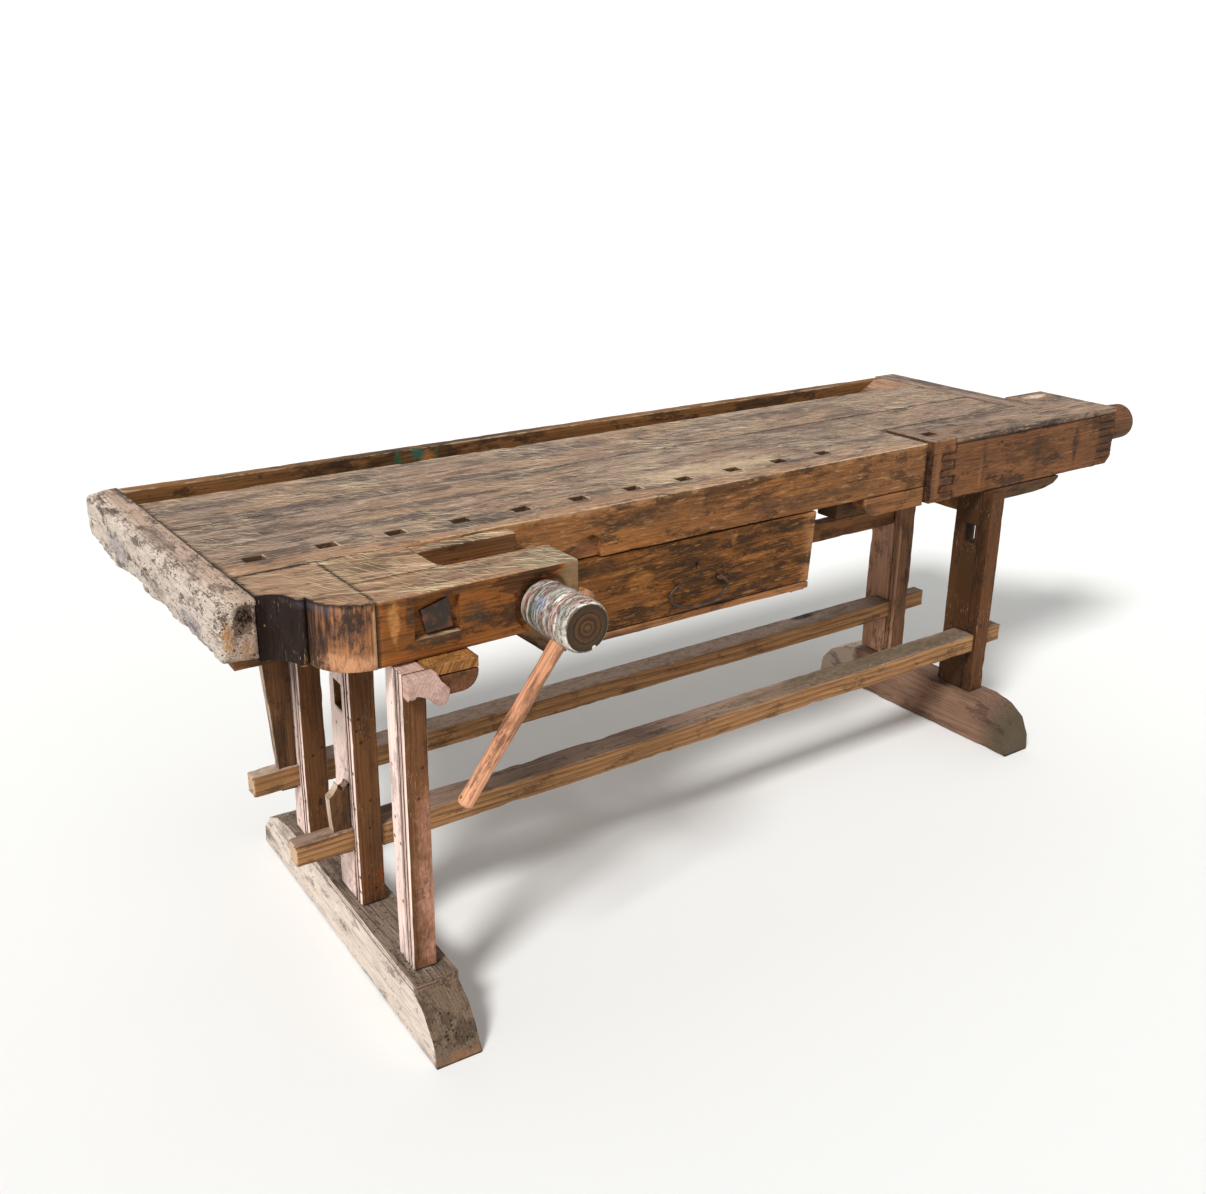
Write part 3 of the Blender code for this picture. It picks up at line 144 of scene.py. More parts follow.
def ringRecipe(outline, spacing, steps):
    # The outline's ring as numbers: point = base + near * t[corner] + far * t[next corner], where t is how far each
    # sharp corner is worn back. A worn corner is a quadratic curve between its two tangent points.
    points = np.array(outline, float)
    count = len(points)
    toPrev = np.roll(points, 1, axis=0) - points
    toNext = np.roll(points, -1, axis=0) - points
    lengthNext = np.linalg.norm(toNext, axis=1)
    lengthPrev = np.linalg.norm(toPrev, axis=1)
    a = toPrev / lengthPrev[:, None]
    b = toNext / lengthNext[:, None]
    sharp = (a * b).sum(axis=1) > carving["straight"]
    base, near, far, first, second = [], [], [], [], []
    for k in range(count):
        j = (k + 1) % count
        shares = np.linspace(0.0, 1.0, steps + 1) if sharp[k] else np.array([0.0])
        rounds = (1 - shares)[:, None] ** 2 * a[k] + shares[:, None] ** 2 * b[k]
        base.append(np.repeat(points[k][None], len(shares), axis=0))
        near.append(rounds if sharp[k] else rounds * 0.0)
        far.append(np.zeros((len(shares), 2)))
        inner = np.linspace(0.0, 1.0, max(2, int(math.ceil(lengthNext[k] / spacing)) + 1))[1:-1]
        base.append(points[k] + inner[:, None] * toNext[k])
        near.append((1 - inner)[:, None] * b[k])
        far.append(inner[:, None] * a[j])
        first += [k] * (len(shares) + len(inner))
        second += [j] * (len(shares) + len(inner))
    limit = carving["mostWorn"] * np.minimum(lengthPrev, lengthNext)
    return (np.concatenate(base), np.concatenate(near), np.concatenate(far),
            np.array(first), np.array(second), sharp, limit)


def outlineNormals(ring):
    step = np.roll(ring, -1, axis=0) - np.roll(ring, 1, axis=0)
    normal = np.stack([step[:, 1], -step[:, 0]], axis=1)
    area = np.sum(ring[:, 0] * np.roll(ring[:, 1], -1) - np.roll(ring[:, 0], -1) * ring[:, 1])
    normal *= np.sign(area)
    return normal / np.maximum(np.linalg.norm(normal, axis=1), 1e-9)[:, None]


def carvedBar(name, outline, axis, span, worn=0.003, ends=(0.002, 0.002), spacing=0.012, ripple=0.0004,
              swell=0.0008, chips=0.004, bend=None, arcSteps=3, stations=None, capCells=0.012):
    # An outline carried along an axis. Each sharp corner is worn back by worn, times slow noise along the bar, plus
    # chips where a finer noise peaks; the surface moves along its normal by swell and ripple noise; the last
    # stretch at each end shrinks on a quarter circle of its own radius.
    seed = seedOf(name)
    base, near, far, first, second, sharp, limit = ringRecipe(outline, spacing, arcSteps)
    length = span[1] - span[0]
    middle = np.linspace(span[0] + ends[0], span[1] - ends[1], max(2, int(length / spacing) + 1))
    if stations is not None:
        middle = np.unique(np.concatenate([middle, np.clip(stations, middle[0], middle[-1])]))
    turn = np.radians(carving["endTurns"])
    quarter = 1 - np.cos(turn)
    low = span[0] + ends[0] * quarter if ends[0] > 0 else np.zeros(0)
    high = span[1] - ends[1] * quarter[::-1] if ends[1] > 0 else np.zeros(0)
    along = np.concatenate([low, middle, high])
    inset = np.zeros(len(along))
    if ends[0] > 0:
        inset[:len(turn)] = ends[0] * (1 - np.sin(turn))
    if ends[1] > 0:
        inset[-len(turn):] = (ends[1] * (1 - np.sin(turn)))[::-1]
    wornBack = np.broadcast_to(np.asarray(worn, float), (len(outline),)) * sharp
    s, k = np.meshgrid(along, np.arange(len(outline), dtype=float), indexing="ij")
    places = np.stack([s.ravel(), k.ravel() * 0.37, np.full(s.size, seed)], axis=1)
    slow = softNoise(places, carving["slow"], seed).reshape(s.shape)
    fine = softNoise(places, carving["fine"], seed + 3).reshape(s.shape)
    chip = chips * np.clip(fine * 0.7 + slow * 0.5 - 0.35, 0, 1) * 2.2
    t = wornBack * (1.0 + 0.45 * slow + 0.2 * fine) + chip * (wornBack > carving["hardlyWorn"])
    t = np.clip(t, 0.0, limit)
    ring = base[None] + near[None] * t[:, first, None] + far[None] * t[:, second, None]
    normal = outlineNormals(base + near * wornBack[first, None] + far * wornBack[second, None])
    ring = ring - normal[None] * inset[:, None, None]
    points = np.empty((len(along), len(base), 3))
    order = {"X": (0, 1, 2), "Y": (1, 0, 2), "Z": (2, 0, 1)}[axis]
    points[..., order[0]] = along[:, None]
    points[..., order[1]] = ring[..., 0]
    points[..., order[2]] = ring[..., 1]
    points = points.reshape(-1, 3)
    out = np.zeros_like(points)
    tiled = np.tile(normal, (len(along), 1))
    out[:, order[1]] = tiled[:, 0]
    out[:, order[2]] = tiled[:, 1]
    stretch = np.ones(3)
    stretch[order[0]] = carving["grainStretch"]
    move = swell * softNoise(points * stretch, carving["swell"], seed + 5)
    move += ripple * softNoise(points, carving["ripple"], seed + 7)
    points = points + out * (move - swell - ripple)[:, None]
    if bend is not None:
        points = bend(points)
    mesh = closedTube(name, points, len(along), len(base))
    if capCells:
        splitCaps(mesh, order, capCells)
        sinkCaps(mesh, order, ring[0], ring[-1], swell, ripple, seed)
    return mesh, (order, np.array(outline, float), wornBack, span, ends)


def outlineDistance(flat, outline):
    # distance of each 2-D point from a closed outline: the least over its segments
    best = np.full(len(flat), farOff)
    for a, b in zip(outline, np.roll(outline, -1, axis=0)):
        edge = b - a
        share = np.clip(((flat - a) @ edge) / max(edge @ edge, 1e-12), 0.0, 1.0)
        best = np.minimum(best, np.linalg.norm(flat - a - share[:, None] * edge, axis=1))
    return best


def splitCaps(mesh, order, cell):
    # cuts the two end faces, the only ones that aren't smooth, into cells, so that they can take relief and wear
    bm = bmesh.new()
    bm.from_mesh(mesh)
    for side in order[1:]:
        values = [v.co[side] for v in bm.verts]
        steps = max(1, round((max(values) - min(values)) / cell))
        direction = Vector([float(side == k) for k in range(3)])
        for at in np.linspace(min(values), max(values), steps + 1)[1:-1]:
            caps = [face for face in bm.faces if not face.smooth]
            edges = {edge for face in caps for edge in face.edges}
            verts = {vert for face in caps for vert in face.verts}
            bmesh.ops.bisect_plane(bm, geom=list(verts) + list(edges) + caps, plane_co=direction * at,
                                   plane_no=direction)
    bm.to_mesh(mesh)
    bm.free()


def sinkCaps(mesh, order, lowRing, highRing, swell, ripple, seed):
    # moves the inner points of the end faces inwards by noise that fades out at their rim
    points = pointsOf(mesh)
    along = points[:, order[0]].copy()
    for limit, rim, sign in ((along.min(), lowRing, 1.0), (along.max(), highRing, -1.0)):
        chosen = np.abs(along - limit) < 1e-6
        where = points[chosen]
        fade = np.clip(outlineDistance(where[:, [order[1], order[2]]], rim) / carving["capFade"], 0.0, 1.0)
        depth = swell * (1 + softNoise(where, carving["capSwell"], seed + 11))
        depth += ripple * (1 + softNoise(where, carving["capRipple"], seed + 13))
        along[chosen] += sign * depth * fade
    points[:, order[0]] = along
    mesh.vertices.foreach_set("co", points.ravel())
    mesh.polygons.foreach_set("use_smooth", np.ones(len(mesh.polygons), bool))
    mesh.update()


def turnedBody(name, profile, sides=40, uneven=0.0, groove=None):
    # profile rows are (distance along X, radius); the body is that profile turned about X, its radius moved by
    # uneven noise and, between groove's first and second distance, by a helical thread of its pitch and depth
    along, radius = np.array(profile, float).T
    angle = np.linspace(0.0, 2 * math.pi, sides, endpoint=False)
    s, a = np.meshgrid(along, angle, indexing="ij")
    r = np.repeat(radius[:, None], sides, axis=1)
    if groove is not None:
        start, end, pitch, depth = groove
        phase = (s / pitch - a / (2 * math.pi)) % 1.0
        inside = (s > start) & (s < end)
        r = r - np.where(inside, depth * np.abs(2 * phase - 1) ** 1.2, 0.0)
    points = np.stack([s, r * np.cos(a), r * np.sin(a)], axis=-1).reshape(-1, 3)
    if uneven:
        shift = 1.0 + uneven * softNoise(points, 0.018, seedOf(name)) / np.maximum(r.ravel(), 0.002)
        points[:, 1:] *= shift[:, None]
    return closedTube(name, points, len(along), sides)


def joined(name, meshes):
    # several closed meshes in one
    bm = bmesh.new()
    for mesh in meshes:
        bm.from_mesh(mesh)
    whole = bpy.data.meshes.new(name)
    bm.to_mesh(whole)
    bm.free()
    return whole


def aimed(mesh, axis, centre):
    # turns a body made along X onto another axis and moves it to its centre
    turn = Vector(axis).normalized().to_track_quat("X", "Z").to_matrix().to_4x4()
    mesh.transform(Matrix.Translation(centre) @ turn)
    return mesh


def boxCutter(x, y, z, flare=0.0, flareHeight=0.004):
    # a box; flare widens its upper end over its last stretch
    levels = [(z[0], 0.0), (z[1], 0.0)]
    if flare:
        levels = [(z[0], 0.0), (z[1] - flareHeight, 0.0), (z[1], flare)]
    rings = [(u, v, height) for height, grow in levels
             for u, v in rect((x[0] - grow, x[1] + grow), (y[0] - grow, y[1] + grow))]
    return closedTube("cutter", np.array(rings), len(levels), 4, smoothSides=False)


def outlineCutter(outline, axis, span):
    # a sharp bar without wear, with no rings between its ends
    return carvedBar("cutter", outline, axis, span, worn=0.0, ends=(0, 0), spacing=farOff, ripple=0, swell=0,
                     chips=0, capCells=0)[0]


def rodCutter(axis, centre, radius, low=-0.5, high=0.5, sides=40):
    return aimed(turnedBody("cutter", [(low, radius), (high, radius)], sides), axis, centre)


def carve(mesh, cutters):
    # takes the cutters' shapes out of the mesh
    body = bpy.data.objects.new("body in work", mesh)
    tool = bpy.data.objects.new("tool in work", joined("tool", cutters))
    for obj in (body, tool):
        bpy.context.scene.collection.objects.link(obj)
    step = body.modifiers.new("carve", "BOOLEAN")
    step.operation = "DIFFERENCE"
    step.solver = "MANIFOLD"
    step.object = tool
    graph = bpy.context.evaluated_depsgraph_get()
    result = bpy.data.meshes.new_from_object(body.evaluated_get(graph))
    for obj in (body, tool):
        bpy.data.objects.remove(obj)
    return result


def wearKind(worn):
    return "edge" if worn > carving["hardlyWorn"] else "seam"


def paintEdges(mesh, guide=None, fall=0.006, holes=(), dirt=0.0032, joints=()):
    # Two attributes: "edge", exp(-distance / fall) from the bar's worn corners and end rims and from the far end of
    # each hole, and "seam", exp(-distance / dirt) from the corners and rims that are hardly worn and from the joint
    # lines, where dirt sits. Both are 1 within their band, and a joint's edges aren't rubbed. A hole is (axis, low
    # corner, high corner) in the other two axes; a joint is two points.
    edgeBand, seamBand, jointBand = 0.002, 0.0008, 0.012
    count = len(mesh.vertices)
    values = {"edge": np.zeros(count), "seam": np.zeros(count)}
    if guide is not None:
        points = pointsOf(mesh)
        order, outline, wornBack, span, ends = guide
        flat = points[:, [order[1], order[2]]]
        rim = outlineDistance(flat, outline)
        along = points[:, order[0]]
        far = {kind: np.full(count, farOff) for kind in values}
        for corner, worn in zip(outline, wornBack):
            if worn > 0:
                kind = wearKind(worn)
                far[kind] = np.minimum(far[kind], np.linalg.norm(flat - corner, axis=1))
        for limit, sign, worn in ((span[0], 1.0, ends[0]), (span[1], -1.0, ends[1])):
            kind = wearKind(worn)
            far[kind] = np.minimum(far[kind], np.hypot(np.clip(sign * (along - limit), 0.0, None), rim))
        for axis, low, high in holes:
            a, b = [k for k in range(3) if k != axis]
            beside = np.maximum(np.maximum(low[1] - points[:, b], points[:, b] - high[1]), 0.0)
            far["edge"] = np.minimum(far["edge"], np.hypot(points[:, a] - high[0] - edgeBand, beside))
        for start, end in joints:
            start, along = np.array(start), np.array(end) - np.array(start)
            share = np.clip((points - start) @ along / (along @ along), 0.0, 1.0)
            near = np.linalg.norm(points - start - share[:, None] * along, axis=1)
            far["seam"] = np.minimum(far["seam"], near)
            far["edge"] = np.where(near < jointBand, farOff, far["edge"])
        values["edge"] = np.exp(-np.maximum(far["edge"] - edgeBand, 0.0) / fall)
        values["seam"] = np.exp(-np.maximum(far["seam"] - seamBand, 0.0) / dirt)
    for kind, share in values.items():
        layer = mesh.attributes.new(kind, "FLOAT", "POINT")
        layer.data.foreach_set("value", share.astype(np.float32))


pieceCount = 0


def finished(name, mesh, look, nodes, body="root", place=home, topLook=None, topFrom=0.6):
    # the piece's object at the origin, with its place in its mesh, riding on its body; the faces that look up may
    # have a look of their own
    global pieceCount
    mesh.transform(place)
    piece = bpy.data.objects.new(name, mesh)
    bpy.context.scene.collection.objects.link(piece)
    mesh.materials.clear()
    mesh.materials.append(look)
    if topLook is not None:
        mesh.materials.append(topLook)
        up = np.array([face.normal.z > topFrom for face in mesh.polygons])
        mesh.polygons.foreach_set("material_index", up.astype(np.int32))
        mesh.update()
    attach(piece, body)
    nodes = [nodes] if isinstance(nodes, str) else list(nodes)
    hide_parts(*nodes)
    pieceCount += 1
    return piece


def tone(red, green, blue):
    # a colour picked on the usual 0 to 255 scale, as the shader's linear values
    c = np.array([red, green, blue]) / 255.0
    linear = np.where(c <= 0.04045, c / 12.92, ((c + 0.055) / 1.055) ** 2.4)
    return (*linear.tolist(), 1.0)


def addNode(tree, kind, inputs=None, **settings):
    node = tree.nodes.new(kind)
    for key, value in settings.items():
        setattr(node, key, value)
    for key, value in (inputs or {}).items():
        if isinstance(value, bpy.types.NodeSocket):
            tree.links.new(value, node.inputs[key])
        else:
            node.inputs[key].default_value = value
    return node


def sums(tree, operation, a, b=0.0, c=0.0):
    node = addNode(tree, "ShaderNodeMath", {0: a, 1: b, 2: c}, operation=operation)
    return node.outputs[0]


def vectors(tree, operation, a, b=(0.0, 0.0, 0.0)):
    node = addNode(tree, "ShaderNodeVectorMath", {0: a, 1: b}, operation=operation)
    return node.outputs["Value" if operation in ("LENGTH", "DISTANCE", "DOT_PRODUCT") else "Vector"]


def between(tree, value, low, high):
    # 0 below low, 1 above high, smooth between
    node = addNode(tree, "ShaderNodeMapRange", {"Value": value, "From Min": low, "From Max": high},
                   interpolation_type="SMOOTHSTEP")
    return node.outputs[0]


def mixed(tree, share, first, second):
    node = addNode(tree, "ShaderNodeMix", {0: share, 6: first, 7: second}, data_type="RGBA")
    return node.outputs[2]


def noise(tree, vector, scale, detail=3.0, roughness=0.55):
    node = addNode(tree, "ShaderNodeTexNoise",
                   {"Vector": vector, "Scale": scale, "Detail": detail, "Roughness": roughness})
    return node.outputs[0]


def drawn(tree, vector, stretch, scale=1.0, detail=3.0, roughness=0.55):
    # noise of a vector whose axes are multiplied first, so that it is drawn out along the smallest
    return noise(tree, vectors(tree, "MULTIPLY", vector, stretch), scale, detail, roughness)


def over(tree, color, mask, share, shade):
    # lays a colour, picked on the 0 to 255 scale, over the one so far: where the mask is, and at a share
    return mixed(tree, sums(tree, "MULTIPLY", mask, share), color, tone(*shade))


def newMaterial(name):
    material = bpy.data.materials.new(name)
    material.use_nodes = True
    tree = material.node_tree
    return material, tree, tree.nodes["Principled BSDF"]


def dress(tree, shader, color, roughness, height, strength, depth):
    # joins a look's colour, roughness and height to its shader
    bump = addNode(tree, "ShaderNodeBump", {"Height": height, "Strength": strength, "Distance": depth})
    tree.links.new(color, shader.inputs["Base Color"])
    tree.links.new(roughness, shader.inputs["Roughness"])
    tree.links.new(bump.outputs[0], shader.inputs["Normal"])


def newGroup(name, inputs, outputs):
    tree = bpy.data.node_groups.new(name, "ShaderNodeTree")
    for label, kind, value in inputs:
        socket = tree.interface.new_socket(label, in_out="INPUT", socket_type="NodeSocket" + kind)
        if value is not None:
            socket.default_value = value
    for label, kind in outputs:
        tree.interface.new_socket(label, in_out="OUTPUT", socket_type="NodeSocket" + kind)
    return tree, tree.nodes.new("NodeGroupInput").outputs, tree.nodes.new("NodeGroupOutput").inputs


def makeGrain():
    # rings: distance from the pith line, moved by slow noise, over the ring width; fibre and streak: noise drawn
    # out along the grain, which is the vector's X
    tree, given, result = newGroup(
        "wood grain", [("Vector", "Vector", None), ("Ring Width", "Float", 0.005), ("Wander", "Float", 0.012)],
        [("Rings", "Float"), ("Fibre", "Float"), ("Streak", "Float")])
    v = given["Vector"]
    slow = addNode(tree, "ShaderNodeTexNoise", {"Vector": vectors(tree, "MULTIPLY", v, (1.1, 5.0, 5.0)),
                                                "Scale": 1.0, "Detail": 2.0}).outputs["Color"]
    moved = vectors(tree, "SUBTRACT", slow, (0.5, 0.5, 0.5))
    scaled = addNode(tree, "ShaderNodeVectorMath", {0: moved, 3: given["Wander"]}, operation="SCALE").outputs[0]
    placed = vectors(tree, "ADD", v, vectors(tree, "MULTIPLY", scaled, (0.0, 4.0, 4.0)))
    radius = vectors(tree, "LENGTH", vectors(tree, "MULTIPLY", placed, (0.0, 1.0, 1.0)))
    turns = sums(tree, "DIVIDE", radius, given["Ring Width"])
    part = sums(tree, "FRACT", turns)
    rise = sums(tree, "POWER", part, 2.2)
    fall = sums(tree, "SUBTRACT", 1.0, between(tree, part, 0.93, 1.0))
    tree.links.new(sums(tree, "MULTIPLY", rise, fall), result["Rings"])
    tree.links.new(drawn(tree, v, (9.0, 330.0, 330.0), detail=4.0, roughness=0.6), result["Fibre"])
    tree.links.new(drawn(tree, v, (2.2, 26.0, 26.0)), result["Streak"])
    return tree


def makeStain():
    # a blotchy mask: two sizes of noise added, then cut between Low and High
    tree, given, result = newGroup(
        "stains", [("Vector", "Vector", None), ("Scale", "Float", 6.0), ("Low", "Float", 0.55),
                   ("High", "Float", 0.7)], [("Mask", "Float")])
    wide = noise(tree, given["Vector"], given["Scale"], 6.0, 0.62)
    fine = noise(tree, given["Vector"], sums(tree, "MULTIPLY", given["Scale"], 9.0), 4.0, 0.7)
    both = sums(tree, "ADD", wide, sums(tree, "MULTIPLY", sums(tree, "SUBTRACT", fine, 0.5), 0.35))
    tree.links.new(between(tree, both, given["Low"], given["High"]), result["Mask"])
    return tree


def makeScratches():
    # thin short strokes in three directions across X and Y: noise drawn out along each stroke and cut near its
    # peaks, kept only where a wide noise allows
    tree, given, result = newGroup(
        "scratches", [("Vector", "Vector", None), ("Amount", "Float", 0.5)], [("Mask", "Float")])
    found = None
    for turn, scale in ((38.0, (14.0, 300.0, 14.0)), (67.0, (18.0, 420.0, 18.0)), (20.0, (10.0, 260.0, 10.0))):
        turned = addNode(tree, "ShaderNodeMapping", {"Vector": given["Vector"],
                                                     "Rotation": (0.0, 0.0, math.radians(turn))}).outputs[0]
        strokes = drawn(tree, turned, scale, detail=1.0)
        sharp = between(tree, strokes, 0.635, 0.69)
        found = sharp if found is None else sums(tree, "MAXIMUM", found, sharp)
    where = noise(tree, given["Vector"], 5.5, 3.0)
    allowed = addNode(tree, "ShaderNodeMapRange", {"Value": sums(tree, "ADD", where, given["Amount"]),
                                                   "From Min": 0.85, "From Max": 1.15}).outputs[0]
    tree.links.new(sums(tree, "MULTIPLY", found, allowed), result["Mask"])
    return tree


def makePits():
    # worm holes and small rot pits: round spots at random cell centres, kept where a wide noise allows
    tree, given, result = newGroup(
        "pits", [("Vector", "Vector", None), ("Scale", "Float", 130.0), ("Amount", "Float", 0.5)],
        [("Mask", "Float")])
    cell = addNode(tree, "ShaderNodeTexVoronoi", {"Vector": given["Vector"], "Scale": given["Scale"]})
    spot = sums(tree, "SUBTRACT", 1.0, between(tree, cell.outputs["Distance"], 0.10, 0.22))
    where = noise(tree, given["Vector"], 14.0, 2.0)
    allowed = between(tree, sums(tree, "ADD", where, given["Amount"]), 0.95, 1.05)
    tree.links.new(sums(tree, "MULTIPLY", spot, allowed), result["Mask"])
    return tree


def makeEdgeWear():
    # where the edge attribute times wide and fine noise passes a level: rubbed spots that come and go along an edge
    tree, given, result = newGroup(
        "edge wear", [("Vector", "Vector", None), ("Edge", "Float", 0.0), ("Amount", "Float", 0.5)],
        [("Mask", "Float")])
    wide = noise(tree, given["Vector"], 16.0, 3.0, 0.6)
    rough = noise(tree, given["Vector"], 110.0, 4.0, 0.7)
    level = sums(tree, "ADD", sums(tree, "MULTIPLY", wide, 1.5), sums(tree, "MULTIPLY", rough, 1.0))
    level = sums(tree, "ADD", level, given["Amount"])
    level = sums(tree, "MULTIPLY", level, given["Edge"])
    tree.links.new(between(tree, level, 1.15, 1.75), result["Mask"])
    return tree


def makePatch():
    # 1 inside an ellipsoid around Centre with half sizes Reach, with a ragged rim
    tree, given, result = newGroup(
        "patch", [("Vector", "Vector", None), ("Centre", "Vector", None), ("Reach", "Vector", (0.1, 0.1, 0.1)),
                  ("Ragged", "Float", 0.6)], [("Mask", "Float")])
    away = vectors(tree, "DIVIDE", vectors(tree, "SUBTRACT", given["Vector"], given["Centre"]), given["Reach"])
    rough = sums(tree, "SUBTRACT", noise(tree, given["Vector"], 70.0, 5.0, 0.7), 0.5)
    wide = sums(tree, "SUBTRACT", noise(tree, given["Vector"], 14.0, 3.0, 0.6), 0.5)
    level = sums(tree, "ADD", vectors(tree, "LENGTH", away), sums(tree, "MULTIPLY", rough, given["Ragged"]))
    level = sums(tree, "ADD", level, sums(tree, "MULTIPLY", wide, sums(tree, "MULTIPLY", given["Ragged"], 1.8)))
    tree.links.new(sums(tree, "SUBTRACT", 1.0, between(tree, level, 0.45, 1.2)), result["Mask"])
    return tree


groups = {"grain": makeGrain(), "stain": makeStain(), "scratches": makeScratches(), "pits": makePits(),
          "edge wear": makeEdgeWear(), "patch": makePatch()}


def place(tree, group, output, **inputs):
    node = tree.nodes.new("ShaderNodeGroup")
    node.node_tree = groups[group]
    for key, value in inputs.items():
        socket = node.inputs[key.replace("_", " ")]
        if isinstance(value, bpy.types.NodeSocket):
            tree.links.new(value, socket)
        else:
            socket.default_value = value
    return node.outputs[output] if isinstance(output, str) else [node.outputs[name] for name in output]


# face is the colour of the side turned to -X: partly weathering, partly painted light and shade
plainWood = dict(light=(150, 112, 82), dark=(112, 78, 54), stain=(62, 46, 36), edge=(186, 158, 128),
                 tint=None, tintShare=0.5, face=None, faceShare=0.0, faceGrain=0.35, rings=0.5, ringWidth=0.006,
                 wander=0.012, pith=(0.0, 0.05, -0.09), fibre=0.45, streak=0.6, stains=(5.0, 0.54, 0.64, 0.8),
                 stretch=0.25, grime=0.55, flecks=0.25, coarse=0.0, edgeAmount=-0.05, seam=0.8, scratches=None,
                 scratch=(204, 182, 150), pits=None, rough=(0.62, 0.85), sheen=0.15, bump=0.6, relief=0.0016,
                 dents=0.5, zones=(), patches=(), turn=None)
dirtTone, pitTone = (34, 25, 20), (38, 28, 22)


